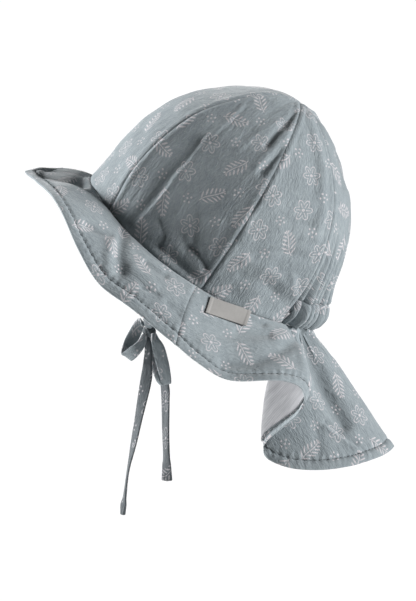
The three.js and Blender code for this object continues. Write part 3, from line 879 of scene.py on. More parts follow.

# %% [markdown]
# The hat is cut from crinkled double muslin: two thin layers of plain-woven cotton, caught together
# here and there, which shrink into fine crinkles. It is matt with a little fuzz, and a pale print
# sits softly on its slate blue. Short narrow noise along the grain gives the crinkles, 1.3 mm apart
# and 4 mm long, and a longer one the pulls, 6 mm apart and 24 mm long. A finer one stands for the
# weave, whose threads are 0.4 mm apart and too fine for the picture, so they are drawn at 0.7 mm.
# Crinkle valleys are painted a little darker, as shade, and seams and creases get painted shade too.

# %% Printed muslin
CRINKLE = (1.3, 4)
PULL = (6, 24)
PULL_HEIGHT = 1.2
WEAVE = 0.7
WEAVE_HEIGHT = 0.18
BLOTCH = 30
BLOTCH_STRENGTH = 0.5
WORN_SPREAD = (0.3, 0.6)
WORN_PRINT = 0.65
MUSLIN_RELIEF = 0.85
# The colour of the painted shade at seams, creases and gathers.
PAINTED_SHADE_COLOUR = "#3c4448"


def muslin(name, valley, ridge, print_colour, print_strength):
    material, tree, shader = new_material(
        name, Roughness=0.92, Sheen_Weight=0.25, Sheen_Roughness=0.5, Specular_IOR_Level=0.25)
    uv = add(tree, "TexCoord", out=TEXTURE_UV)
    grain = add(tree, "VectorMath.MULTIPLY", uv, (1 / CRINKLE[0], 1 / CRINKLE[1], 1))
    crinkle = add(tree, "TexNoise", named={
        "Vector": grain, "Scale": 1, "Detail": 3, "Roughness": 0.6, "Distortion": 0.8})
    run = add(tree, "VectorMath.MULTIPLY", uv, (1 / PULL[0], 1 / PULL[1], 1))
    pull = add(tree, "TexNoise", named={"Vector": run, "Scale": 1, "Detail": 2})
    weave = add(tree, "TexNoise", named={"Vector": uv, "Scale": 1 / WEAVE, "Detail": 1})
    blotch = add(tree, "TexNoise", named={"Vector": uv, "Scale": 1 / BLOTCH, "Detail": 2})
    blotch = add(tree, "Math.SUBTRACT", blotch, 0.5)
    # Random blotches, and crinkle valleys painted darker as shade, because the same noise sinks them.
    tone = add(tree, "Math.MULTIPLY_ADD", blotch, BLOTCH_STRENGTH, crinkle)
    tone = add(tree, "MapRange", tone, *NOISE_SPREAD)
    cloth = add(tree, "Mix", named={0: tone, 6: colour(valley), 7: colour(ridge)}, **COLOUR_MIX)
    # Painted shade: the piece's shade attribute mixes a dark colour into the cloth.
    shade = add(tree, "Attribute", out=2, attribute_name="painted_shade")
    cloth = add(tree, "Mix", named={0: shade, 6: cloth, 7: colour(PAINTED_SHADE_COLOUR)}, **COLOUR_MIX)
    worn = add(tree, "MapRange", weave, *WORN_SPREAD, WORN_PRINT, 1)
    inked = add(tree, "Math.MULTIPLY", print_ink(tree, uv), worn)
    inked = add(tree, "Math.MULTIPLY", inked, print_strength)
    base = add(tree, "Mix", named={0: inked, 6: cloth, 7: colour(print_colour)}, **COLOUR_MIX)
    tree.links.new(base, shader.inputs["Base Color"])
    height = add(tree, "Math.MULTIPLY_ADD", weave, WEAVE_HEIGHT, crinkle)
    height = add(tree, "Math.MULTIPLY_ADD", pull, PULL_HEIGHT, height)
    bump = add(tree, "Bump", named={"Height": height, "Strength": 0.9, "Distance": MUSLIN_RELIEF * MM})
    tree.links.new(bump, shader.inputs["Normal"])
    return material


MUSLIN = muslin("printed_double_muslin", "#828b90", "#959ea2", "#d6cfd2", 0.74)
# Painted shade: a darker copy of the muslin, with a dimmer print, for the tie ends and the knot.
SHADED_TIE_MUSLIN = muslin("printed_double_muslin_painted_shade", "#4b5155", "#595f63", "#c4bfc3", 0.55)
print("muslin nodes:", len(MUSLIN.node_tree.nodes))

# %% [markdown]
# The flap is lined with fine cotton jersey, a plain knit whose ribs are finer than a millimetre.
# They are drawn 1.3 mm apart, coarse enough to show, with loose streaks along them. The jersey is
# matt and pale grey. A Wave texture of scale 1 repeats every 0.31 units, which sets the scale.

# %% Lining jersey
WAVE_PERIOD = 0.31
RIB_STEP = 1.3
STREAK = (3, 14)
RIB_HEIGHT = 0.2
JERSEY_RELIEF = 0.6


def jersey(name, valley, ridge):
    material, tree, shader = new_material(name, Roughness=0.95, Sheen_Weight=0.2, Specular_IOR_Level=0.2)
    uv = add(tree, "TexCoord", out=TEXTURE_UV)
    rib_wave = {"Vector": uv, "Scale": WAVE_PERIOD / RIB_STEP, "Distortion": 1.5, "Detail": 1}
    ribs = add(tree, "TexWave", named=rib_wave, out=1, wave_type="BANDS", bands_direction="X")
    grain = add(tree, "VectorMath.MULTIPLY", uv, (1 / STREAK[0], 1 / STREAK[1], 1))
    streak = add(tree, "TexNoise", named={"Vector": grain, "Scale": 1, "Detail": 3})
    tone = add(tree, "MapRange", streak, *NOISE_SPREAD)
    base = add(tree, "Mix", named={0: tone, 6: colour(valley), 7: colour(ridge)}, **COLOUR_MIX)
    tree.links.new(base, shader.inputs["Base Color"])
    height = add(tree, "Math.MULTIPLY_ADD", ribs, RIB_HEIGHT, streak)
    bump = add(tree, "Bump", named={"Height": height, "Strength": 0.5, "Distance": JERSEY_RELIEF * MM})
    tree.links.new(bump, shader.inputs["Normal"])
    return material


LINING = jersey("cotton_jersey", "#828386", "#949598")
print("lining:", LINING.name)

# %% [markdown]
# The label is satin-woven polyester tape, slightly silky, with fine ribs 0.9 mm apart across it.

# %% Label tape
TAPE_RIB_STEP = 0.9
TAPE_RIB_TONE = 0.35
TAPE_SOIL = 4
TAPE_SOIL_TONE = 0.6
TAPE_RELIEF = 0.2


def woven_tape(name, shade, light):
    material, tree, shader = new_material(name, Roughness=0.55, Sheen_Weight=0.3)
    uv = add(tree, "TexCoord", out=TEXTURE_UV)
    rib_wave = {"Vector": uv, "Scale": WAVE_PERIOD / TAPE_RIB_STEP, "Distortion": 0.3}
    ribs = add(tree, "TexWave", named=rib_wave, out=1, wave_type="BANDS", bands_direction="Y")
    soil = add(tree, "TexNoise", named={"Vector": uv, "Scale": 1 / TAPE_SOIL, "Detail": 3})
    soil = add(tree, "Math.MULTIPLY", soil, TAPE_SOIL_TONE)
    tone = add(tree, "Math.MULTIPLY_ADD", ribs, TAPE_RIB_TONE, soil)
    base = add(tree, "Mix", named={0: tone, 6: colour(shade), 7: colour(light)}, **COLOUR_MIX)
    tree.links.new(base, shader.inputs["Base Color"])
    bump = add(tree, "Bump", named={"Height": ribs, "Strength": 0.4, "Distance": TAPE_RELIEF * MM})
    tree.links.new(bump, shader.inputs["Normal"])
    return material


TAPE = woven_tape("satin_woven_tape", "#82807e", "#989693")
print("tape:", TAPE.name)

# %% [markdown]
# The thread is core-spun polyester, darker than the cloth. Where its twist catches the light is
# painted in, as lighter noise finer than a stitch.

# %% Sewing thread
TWIST_SCALE = 1500


def spun_thread(name, shade, light):
    material, tree, shader = new_material(name, Roughness=0.6, Sheen_Weight=0.2)
    place = add(tree, "TexCoord", out=TEXTURE_OBJECT)
    twist = add(tree, "TexNoise", named={"Vector": place, "Scale": TWIST_SCALE, "Detail": 1})
    # Painted glints where the twist catches the light.
    base = add(tree, "Mix", named={0: twist, 6: colour(shade), 7: colour(light)}, **COLOUR_MIX)
    tree.links.new(base, shader.inputs["Base Color"])
    return material


THREAD = spun_thread("core_spun_thread", "#30383c", "#4d565b")
print("materials:", [m.name for m in (MUSLIN, SHADED_TIE_MUSLIN, LINING, TAPE, THREAD)])

# %% [markdown]
# Where two pieces of cloth meet, they roll into the seam, so each edge dips inwards over its last
# millimetre and swells a little just before that. The seam line itself is painted with shade.

# %% Seams
SEAM_ROLL = 0.9
SEAM_ROLL_WIDTH = 0.8
SEAM_RIDGE = 0.4
SEAM_RIDGE_AT = 2.6
SEAM_RIDGE_WIDTH = 1.2
SEAM_SHADE = 0.42
SEAM_SHADE_WIDTH = 0.5
BAND_ROLL = 0.4
VISIBLE_GAP = 0.04


def seam_roll(distance):
    ridge = SEAM_RIDGE * bell(distance - SEAM_RIDGE_AT, SEAM_RIDGE_WIDTH)
    return ridge - SEAM_ROLL * bell(distance, SEAM_ROLL_WIDTH)


# Painted shade along a seam or a stitch line, fading away from it.
def painted_shade(distance):
    return SEAM_SHADE * bell(distance, SEAM_SHADE_WIDTH)


print("seam line:", round(float(seam_roll(0)), 2), "mm deep")

# %% [markdown]
# The nape casing is a channel for elastic. It puffs out between the band and its upper stitch line,
# and the gathers are fullest in it, with shade painted into their valleys.

# %% Casing
CASING_GATHER = 2.8
CASING_STITCH_ROLL = 0.8
FULL_UP_TO = (10, 40)
PLEAT_SHADE = 0.6
SHADED_PLEATS = (0.5, 2.0)


def casing_relief(angle, height):
    """How far gathers and casing stand out at a place, and how much shade is painted there."""
    pleats = gather(angle, height)
    fullness = 1 + (CASING_GATHER - 1) * (1 - smoothstep(height, *FULL_UP_TO))
    puff = CASING_PUFF * np.sin(np.pi * np.minimum(height / CASING_HEIGHT, 1))
    to_stitches = np.abs(height - CASING_HEIGHT)
    lift = pleats * fullness + puff + seam_roll(to_stitches) * CASING_STITCH_ROLL
    shade = PLEAT_SHADE * smoothstep(-pleats, *SHADED_PLEATS)
    return lift, np.maximum(shade, painted_shade(to_stitches))


print("casing:", CASING_HEIGHT, "mm high, puffed by", CASING_PUFF, "mm")

# %% [markdown]
# The crown is sewn from six gores, and each is one grid from the band to the top. The rear middle
# one is cut by the casing's upper stitch line into two pieces, and the gathers run through both. A
# facet presses a gore's middle inwards, as stiff cloth does between two seams. Folds and swellings
# fade out towards the seams, so that neighbours still meet there.

# %% Gore from band to top
TOP_HOLE = 0.25
FACET_FROM = 25
FOLD_MARGIN = 3
FOLD_BAND_MARGIN = 5
WAVE_HEIGHT = 0.8
WAVE_MARGIN = 10
GORE_WAVE = 26
GRID_STEP = 1.3
PLAIN_WIDTH = 1.12
GATHERED_WIDTH = 2.2
CROWN_ARC = 1.4
CASING_ARC = 1.3
SPARE_ROWS = 6
WIDEST_ROW = 2.0
UV_STEP = (37.0, 53.0)

last_row = len(CROWN_PROFILE) - 1
top_row = last_row - TOP_HOLE / (HEAD_WIDTH / 2) / CROWN_PROFILE[last_row - 1]["front"]


def crown_distance(angle, other, row):
    return length(crown_base(angle, row) - crown_base(other, row))


def gore_piece(name, start, end, rows, folds, gathered, seed, facet):
    surface = crown_surface(start, end)
    low, high = rows

    def place(across, up):
        row = low + (high - low) * up
        first = np.full_like(row, float(start))
        degree = crown_distance(first + 1, first, row)
        inset = np.minimum(VISIBLE_GAP / degree, (end - start) / 4)
        angle = start + inset + (end - start - 2 * inset) * across
        height = table_value(CROWN_PROFILE, "up", row) * CROWN_HEIGHT
        point = surface(angle, row)
        to_seam = np.minimum(angle - start, end - angle) * degree
        pressed = facet * degree * (end - start) * across * (1 - across)
        lift = seam_roll(to_seam) + seam_roll(height) * BAND_ROLL
        lift = lift - pressed * smoothstep(height, 0, FACET_FROM)
        # Painted shade: seams and the band, deep creases and the gathers' valleys are darkened in colour.
        shade = np.maximum(painted_shade(to_seam), painted_shade(height))
        if not gathered or low > 0:
            creases = fold_lift(point, FOLDS[folds]) * smoothstep(height, 0, FOLD_BAND_MARGIN)
            waves = WAVE_HEIGHT * soft_waves(point, GORE_WAVE, seed)
            lift = lift + creases * smoothstep(to_seam, 0, FOLD_MARGIN)
            lift = lift + waves * smoothstep(to_seam, 0, WAVE_MARGIN)
            shade = np.maximum(shade, fold_shade(creases))
        if gathered:
            relief, casing_shade = casing_relief(angle, height)
            lift = lift + relief
            shade = np.maximum(shade, casing_shade)
        return point + lift[..., None] * outward(surface, angle, row), shade

    widest = float(crown_distance(np.array(float(start)), np.array(float(end)), np.array(WIDEST_ROW)))
    columns = int(widest * (GATHERED_WIDTH if gathered else PLAIN_WIDTH) / GRID_STEP)
    tall = CASING_HEIGHT * CASING_ARC if high <= casing_top else CROWN_HEIGHT * CROWN_ARC
    grid_rows = int(tall / GRID_STEP) + SPARE_ROWS
    piece = grid_piece(name, columns, grid_rows, place, (seed * UV_STEP[0], seed * UV_STEP[1]))
    thicken(piece, CLOTH)
    dress(piece, MUSLIN, name)


print("top of the crown closes to", TOP_HOLE, "mm")

# %% [markdown]
# The gores go round from the front. Left and right are mirrored in their seams and creases, and
# only the irregular swellings differ, so each has its own seed.

# %% Crown gores
WHOLE = (0, top_row)
CASING = (0, casing_top)
ABOVE_CASING = (casing_top, top_row)
GORES = table("name start end rows folds gathered seed facet", [
    ("crown_front", -FRONT_SEAM, FRONT_SEAM, WHOLE, "front_gore", False, 1, 0.05),
    ("crown_side_left", FRONT_SEAM, SIDE_SEAM, WHOLE, "side_gore", False, 2, 0.2),
    ("crown_rear_left", SIDE_SEAM, REAR_SEAM, WHOLE, "rear_gore", False, 3, 0.1),
    ("crown_rear_right", 360 - REAR_SEAM, 360 - SIDE_SEAM, WHOLE, "rear_gore", False, 4, 0.1),
    ("crown_side_right", 360 - SIDE_SEAM, 360 - FRONT_SEAM, WHOLE, "side_gore", False, 5, 0.2),
    ("nape_casing", REAR_SEAM, 360 - REAR_SEAM, CASING, "back_gore", True, 6, 0),
    ("crown_back", REAR_SEAM, 360 - REAR_SEAM, ABOVE_CASING, "back_gore", True, 7, 0),
])
for gore in GORES:
    gore_piece(**gore)

# %% [markdown]
# The brim and the neck flap hang from the band. Both have a wide hem, stitched seven millimetres
# from the edge: the hem is two layers thick and a little puffed, the stitch line lies in a small
# groove, and the cloth puckers where the thread pulls.

# %% Hem
HEM_GROOVE = 1.0
HEM_GROOVE_WIDTH = 1.0
HEM_PUFF = 0.35
HEM_SHADE = 0.75
PUCKER = 0.32
PUCKER_STEP = 5.5
PUCKER_WANDER = 0.8
PUCKER_WANDER_STEP = 11
PUCKER_WIDTH = 3.5
HEM_SAMPLES = 6000
HANG_SLACK = 1.03


def hem_lift(to_hem, along):
    to_stitches = to_hem - HEM_FACING
    groove = -HEM_GROOVE * bell(to_stitches, HEM_GROOVE_WIDTH)
    puff = HEM_PUFF * np.sin(np.pi * np.clip(to_hem / HEM_FACING, 0, 1))
    wander = PUCKER_WANDER * np.sin(along / PUCKER_WANDER_STEP)
    pull = PUCKER * np.sin(2 * np.pi * along / PUCKER_STEP + wander)
    return groove + puff + pull * bell(to_stitches, PUCKER_WIDTH)


def walked(line):
    """Distance along a line up to each of its points."""
    return np.concatenate([[0], np.cumsum(length(np.diff(line, axis=0)))])


def hem_distances(t):
    """Length of hem up to each t, and length of cloth from band to hem there."""
    fine = np.linspace(-BACK_ROW - 1, ROUND + 1, HEM_SAMPLES)
    walk = walked(sheet_point(fine, np.ones_like(fine)))
    return np.interp(t, fine, walk), length(hem_reach(t)) * HANG_SLACK


print("hem under the ear:", round(float(hem_distances(8.0)[1])), "mm below the band")

# %% [markdown]
# The relief of the hanging cloth is the same for brim, flap and lining: seams at its ends and at
# the band, drawn folds, soft swellings, and the hem where there is one. The lining lies on the same
# surface as the flap, further in. Each is unrolled from its plain surface, without the relief.

# %% Hanging cloth
END_ROLL = 0.3
END_SHADE = 0.5
ROOT_MARGIN = 6
SHEET_WAVE = 30


def sheet_surface(t, drop):
    point = sheet_point(t, drop)
    out = outward(lambda u, v: sheet_point(u, -v), t, -drop)
    angle = hem_value("angle", t)
    swell = np.sin(np.pi * np.minimum(drop * FLAP_LENGTH / FLAP_GATHER, 1))
    lift = -gather(angle, np.zeros_like(angle)) * swell * FLAP_SWELL
    return point + lift[..., None] * out, out


def sheet_place(start, end, folds, deepest, offset, seed, hemmed):
    def place(across, up):
        t = start + (end - start) * across
        drop = deepest * (1 - up)
        point, out = sheet_surface(t, drop)
        along, tall = hem_distances(t)
        wide = length(sheet_point(t + SMALL_STEP, drop) - sheet_point(t, drop)) / SMALL_STEP
        to_end = np.minimum(t - start, end - t) * wide
        to_band = drop * tall
        inside = smoothstep(to_end, 0, FOLD_MARGIN) * smoothstep(to_band, 0, ROOT_MARGIN)
        creases = fold_lift(point, FOLDS[folds])
        waves = WAVE_HEIGHT * soft_waves(point, SHEET_WAVE, seed)
        lift = seam_roll(to_band) * BAND_ROLL + seam_roll(to_end) * END_ROLL
        lift = lift + offset + (creases + waves) * inside
        # Painted shade: the ends, the band, deep creases and the hem's stitch line are darkened in colour.
        shade = np.maximum(painted_shade(to_end) * END_SHADE, painted_shade(to_band))
        shade = np.maximum(shade, fold_shade(creases))
        if hemmed:
            to_hem = (1 - drop) * tall
            lift = lift + hem_lift(to_hem, along)
            shade = np.maximum(shade, HEM_SHADE * painted_shade(to_hem - HEM_FACING))
        return point + lift[..., None] * out, shade

    return place


def sheet_unroll(start, end, deepest):
    def flatten(points):
        rows, columns = points.shape[:2]
        t = np.linspace(start, end, columns)[None, :] * np.ones((rows, 1))
        drop = deepest * (1 - np.linspace(0, 1, rows))[:, None] * np.ones((1, columns))
        return unroll(sheet_point(t, drop))

    return flatten


hair = VISIBLE_GAP / 30
brim_ends = (-brim_seam_row + hair, brim_seam_row - hair)
flap_ends = (brim_seam_row + hair, ROUND - brim_seam_row - hair)
print("rows of the brim:", np.round(brim_ends, 2), "and of the flap:", np.round(flap_ends, 2))

# %% [markdown]
# The brim runs from side seam to side seam round the front, and the flap on round the back. Both
# are double muslin, the flap's a little thinner.

# %% Brim and neck flap
BRIM_GRID = (330, 46)
BRIM_PRINT_SHIFT = (19, 7)
BRIM_SEED = 11
FLAP_GRID = (560, 76)
FLAP_PRINT_SHIFT = (3, 31)
FLAP_SEED = 12
FLAP_MIDDLE = CLOTH / 2 - FLAP_CLOTH / 2

front_brim = grid_piece(
    "front_brim", *BRIM_GRID, sheet_place(*brim_ends, "brim", 1, 0, BRIM_SEED, True), BRIM_PRINT_SHIFT,
    sheet_unroll(*brim_ends, 1))
thicken(front_brim, CLOTH)
dress(front_brim, MUSLIN, "front_brim")

neck_flap = grid_piece(
    "neck_flap", *FLAP_GRID, sheet_place(*flap_ends, "flap", 1, FLAP_MIDDLE, FLAP_SEED, True),
    FLAP_PRINT_SHIFT, sheet_unroll(*flap_ends, 1))
thicken(neck_flap, FLAP_CLOTH)
dress(neck_flap, MUSLIN, "neck_flap")

# %% [markdown]
# The lining shows where the flap's front corner turns back. It is plain jersey in a paler grey,
# stops at the hem's facing, and follows the flap a hair's breadth inside it.

# %% Lining of the flap
LINING_GRID = (420, 60)
LINING_MIDDLE = CLOTH / 2 - FLAP_CLOTH - SEAM_GAP - LINING_CLOTH / 2
LINING_DROP = 1 - HEM_FACING / FLAP_LENGTH

flap_lining = grid_piece(
    "flap_lining", *LINING_GRID,
    sheet_place(*flap_ends, "flap", LINING_DROP, LINING_MIDDLE, FLAP_SEED, False),
    flatten=sheet_unroll(*flap_ends, LINING_DROP))
thicken(flap_lining, LINING_CLOTH)
dress(flap_lining, LINING, "flap_lining")

# %% [markdown]
# A small bare label of woven tape is sewn to the flap's root. Its place is known from the picture,
# so the row and drop of the flap under each of its points are found by stepping towards it on the
# side view. The label's short ends are folded under, so they are a little thicker.

# %% Label
LABEL_FOLD = 2.2
LABEL_FOLD_EDGE = 0.3
LABEL_FOLD_LIFT = 0.25
LABEL_SAG = 0.25
LABEL_CENTRE = (18, -41.5)
LABEL_SLOPE = -18.5
SEARCH_STEP = 0.01
SEARCHES = 12
LABEL_GRID = (58, 24)


def on_flap(across, up):
    """The rows and drops of the flap's points that the side view shows at a place."""
    t = np.full_like(across, row_where(lambda t: hem_value("angle", t), LABEL_ANGLE, 0, BACK_ROW))
    drop = np.full_like(across, LABEL_DROP / BRIM_WIDTH)
    for _ in range(SEARCHES):
        here, right, down = (np.stack(side_view(sheet_surface(*place)[0]), axis=-1) for place in (
            (t, drop), (t + SEARCH_STEP, drop), (t, drop + SEARCH_STEP)))
        by_t, by_drop = (right - here) / SEARCH_STEP, (down - here) / SEARCH_STEP
        miss = np.stack([across, up], axis=-1) - here
        scale = by_t[..., 0] * by_drop[..., 1] - by_t[..., 1] * by_drop[..., 0]
        t = t + (miss[..., 0] * by_drop[..., 1] - miss[..., 1] * by_drop[..., 0]) / scale
        drop = drop + (by_t[..., 0] * miss[..., 1] - by_t[..., 1] * miss[..., 0]) / scale
    return t, drop


def label_place(across, up):
    slope = np.radians(LABEL_SLOPE)
    forward = (across - 0.5) * LABEL_LENGTH
    raised = (up - 0.5) * LABEL_HEIGHT
    t, drop = on_flap(
        LABEL_CENTRE[0] + forward * np.cos(slope) - raised * np.sin(slope),
        LABEL_CENTRE[1] + forward * np.sin(slope) + raised * np.cos(slope))
    point, out = sheet_surface(t, drop)
    to_end = np.minimum(across, 1 - across) * LABEL_LENGTH
    turned = 1 - smoothstep(to_end, LABEL_FOLD - LABEL_FOLD_EDGE, LABEL_FOLD + LABEL_FOLD_EDGE)
    sag = LABEL_SAG * np.sin(np.pi * across) * np.sin(np.pi * up)
    lift = CLOTH / 2 + SEAM_GAP + LABEL_CLOTH / 2 + LABEL_FOLD_LIFT * turned + sag
    return point + lift[..., None] * out, 0.0


label = grid_piece("label", *LABEL_GRID, label_place)
thicken(label, LABEL_CLOTH)
dress(label, TAPE, "label")

# %% [markdown]
# The ties are flat sewn straps of the same muslin. Each follows a route from the knot outwards,
# given as shares of its size, with the way its width points and how wide it lies there. At the knot
# it is squeezed to half its width.

# %% Routes of the loops
KNOT_CENTRE = np.array([0, -KNOT_FORWARD, -KNOT_DROP], float)
KNOT_TUCK = 0.9
KNOT_CLEAR = KNOT_SIZE / 2 - KNOT_TUCK
STRAP = "side back up turn pitch width"
LEFT_LOOP = table(STRAP, [
    (-0.02, -0.03, 0.04, 0, 40, 0.45),
    (-0.09, -0.17, 0.17, 0, 30, 0.75),
    (-0.19, -0.35, -0.08, 0, 23, 0.98),
    (-0.2, -0.54, -0.38, 0, 26, 1),
    (0, -0.64, -0.73, 0, 38, 1),
    (0.19, -0.38, -0.52, 0, 50, 0.95),
    (0.15, -0.16, -0.26, 0, 60, 0.7),
    (0.04, -0.03, -0.02, 0, 60, 0.45),
])
RIGHT_LOOP = table(STRAP, [
    (0.02, 0.02, -0.005, 0, 60, 0.45),
    (0.08, 0.08, -0.1, 0, 40, 0.7),
    (0.11, 0.16, -0.28, 0, 15, 1),
    (0.11, 0.26, -0.64, 0, 5, 1),
    (0.02, 0.31, -0.93, 0, -10, 0.8),
    (-0.08, 0.22, -0.85, 0, -6, 1),
    (-0.1, 0.14, -0.6, 0, 0, 1),
    (-0.09, 0.1, -0.25, 0, 10, 0.85),
    (-0.03, 0.02, -0.02, 0, 30, 0.45),
])
print("places on the loops:", len(LEFT_LOOP) + len(RIGHT_LOOP))

# %% [markdown]
# The two ends hang down from the knot. The front one swings forwards and shows its narrow side
# towards its tip, and the back one hangs nearly straight.

# %% Routes of the ends
FRONT_END = table(STRAP, [
    (0, -0.002, -0.004, 0, 0, 0.5),
    (0.004, -0.003, -0.066, 10, 0, 0.6),
    (0.006, -0.007, -0.15, 20, 0, 0.75),
    (0.008, -0.013, -0.234, 23, 4, 1),
    (0.01, -0.05, -0.433, 50, 6, 1),
    (0.008, -0.084, -0.607, 60, 6, 1),
    (0.005, -0.109, -0.732, 77, 6, 1),
    (0.002, -0.124, -0.831, 84, 5, 0.9),
    (0, -0.134, -0.905, 74, 5, 0.8),
    (0, -0.141, -0.955, 48, 5, 0.75),
    (0, -0.144, -1.01, 52, 5, 0.5),
])
BACK_END = table(STRAP, [
    (-0.03, 0.01, -0.02, 20, 0, 0.5),
    (-0.075, 0.045, -0.125, 30, 0, 0.8),
    (-0.08, 0.092, -0.346, 45, 0, 1),
    (-0.06, 0.1, -0.455, 50, 0, 1),
    (-0.04, 0.105, -0.659, 51, 0, 1),
    (-0.03, 0.113, -0.843, 55, 0, 1),
    (-0.025, 0.114, -0.9, 46, 0, 1),
    (-0.02, 0.117, -1.01, 26, 0, 1),
])


def from_knot(rows, size):
    route = []
    for row in rows:
        away = np.array([row["side"], row["back"], row["up"]])
        distance = KNOT_CLEAR + np.linalg.norm(away) * size
        route.append(dict(row, place=KNOT_CENTRE + away / np.linalg.norm(away) * distance))
    return route


print("knot:", np.round(KNOT_CENTRE, 1), "mm")

# %% [markdown]
# A strap starts as a grid, rolled into a flat sleeve round its route. The doubles where its edges
# meet are merged, and its ends close. Where the strap narrows it gets thicker and crumples, because
# the cloth has to go somewhere.

# %% Straps of the bow
SLEEVE_SIDES = 24
SLEEVE_STEP = 1.1
SLEEVE_END = 1.2
SLEEVE_FLATNESS = (0.6, 0.55)
MERGE_DISTANCE = 1e-6
BUNCH = 1.6
CRUMPLE = 0.25
CRUMPLES_ACROSS = 9
CRUMPLES_ALONG = 5
RIPPLE = 0.18
RIPPLE_STEP = 7
RIPPLE_SLANT = 1.3
ROUTE_STEP = 0.01
STRAP_UV_STEP = (17.0, 29.0)


def squared(wave, power):
    """A sine wave with fuller shoulders."""
    return np.sign(wave) * np.abs(wave) ** power


def strap_piece(name, route, material, seed):
    places = np.array([row["place"] for row in route])
    last = len(route) - 1
    long = length(np.diff(places, axis=0)).sum()
    steps = int(long / SLEEVE_STEP)

    def on_route(t):
        return np.stack([smooth_at(places[:, k], t) for k in range(3)], axis=-1)

    def place(across, up):
        t = up * last
        ahead = on_route(np.minimum(t + ROUTE_STEP, last)) - on_route(np.maximum(t - ROUTE_STEP, 0))
        along = ahead / length(ahead)[..., None]
        turn, pitch = (np.radians(table_value(route, key, t)) for key in ("turn", "pitch"))
        share = table_value(route, "width", t)
        side = np.stack([np.sin(turn), np.cos(turn) * np.cos(pitch), -np.cos(turn) * np.sin(pitch)], axis=-1)
        side = side - (side * along).sum(axis=-1)[..., None] * along
        side = side / length(side)[..., None]
        out = np.cross(along, side)
        ring = 2 * np.pi * across
        closing = np.sqrt(np.clip(np.minimum(up, 1 - up) * steps / SLEEVE_END, 0, 1))
        wide = squared(np.cos(ring), SLEEVE_FLATNESS[0])
        thick = squared(np.sin(ring), SLEEVE_FLATNESS[1]) * (TIE_CLOTH + BUNCH * (1 - share)) / 2
        crumple = CRUMPLE * np.sin(CRUMPLES_ACROSS * wide + CRUMPLES_ALONG * up + seed) * (1 - share)
        walk = up * steps * SLEEVE_STEP
        ripple = RIPPLE * np.sin(walk / RIPPLE_STEP + RIPPLE_SLANT * wide + seed)
        sideways = wide * share * TIE_WIDTH / 2 * closing
        outwards = (thick + crumple + ripple) * closing
        return on_route(t) + sideways[..., None] * side + outwards[..., None] * out, 0.0

    piece = grid_piece(name, SLEEVE_SIDES, steps, place, (seed * STRAP_UV_STEP[0], seed * STRAP_UV_STEP[1]))
    bpy.ops.object.mode_set(mode="EDIT")
    bpy.ops.mesh.select_all(action="SELECT")
    bpy.ops.mesh.remove_doubles(threshold=MERGE_DISTANCE)
    bpy.ops.mesh.normals_make_consistent(inside=False)
    bpy.ops.object.mode_set(mode="OBJECT")
    bpy.ops.object.shade_smooth()
    dress(piece, material, name)
    print("  strap", round(long), "mm long")


print("rings of a sleeve:", SLEEVE_STEP, "mm apart")

# %% [markdown]
# The loops are of the same cloth as the brim. The ends and the knot are that cloth too, but they
# hang in shade, so they get a darker copy of it, which paints the shade into their colour.

# %% Bow
strap_piece("bow_loop_left", from_knot(LEFT_LOOP, LOOP_LEFT), MUSLIN, 1)
strap_piece("bow_loop_right", from_knot(RIGHT_LOOP, LOOP_RIGHT), MUSLIN, 2)
strap_piece("tie_tail_front", from_knot(FRONT_END, TAIL_FRONT), SHADED_TIE_MUSLIN, 3)
strap_piece("tie_tail_back", from_knot(BACK_END, TAIL_BACK), SHADED_TIE_MUSLIN, 4)

# %% [markdown]
# The strap on each side starts flat on the crown's inside, where it is sewn, and comes out below
# the band. From there it runs straight to the knot and turns its width on the way.

# %% Chin ties
TURNED_AT = 0.25
LEVEL_AT = 0.8


def chin_tie(name, side, seed):
    inward = -(CLOTH / 2 + TIE_CLEARANCE + TIE_CLOTH / 2)
    angle = np.array(float(side * TIE_ANGLE))

    def inside(height):
        row = np.array(crown_row_at(height))
        return crown_base(angle, row) + outward(crown_base, angle, row) * inward

    low = inside(TIE_EDGE_HEIGHT)
    turn = np.degrees(side * np.arctan2(HEAD_WIDTH, HEAD_LENGTH * np.tan(np.radians(TIE_ANGLE))))
    to_knot = (KNOT_CENTRE - low) / np.linalg.norm(KNOT_CENTRE - low)
    end = KNOT_CENTRE - to_knot * KNOT_CLEAR
    rows = [
        (inside(TIE_SEWN_HEIGHT), turn, BAND_TILT, 1),
        (low, turn, BAND_TILT, 1),
        (low + (end - low) * TURNED_AT, turn / 2, BAND_TILT / 2, 1),
        (low + (end - low) * LEVEL_AT, 0, 0, 1),
        (end, 0, 0, 0.5),
    ]
    strap_piece(name, table("place turn pitch width", rows), MUSLIN, seed)


chin_tie("chin_tie_left", 1, 5)
chin_tie("chin_tie_right", -1, 6)

# %% [markdown]
# The knot is the same strap pulled tight over itself. A ball gives its size, and three grooves
# between the turns of the strap run over it.

# %% Knot
KNOT_SHAPE = np.array([0.98, 1.02, 0.9])
TURN_DIRECTION = np.array([1.5, 5.2, 2.4])
GROOVE_FLOOR = 0.88
GROOVE_DEPTH = 0.14
KNOT_UV = (6, 3, 40)


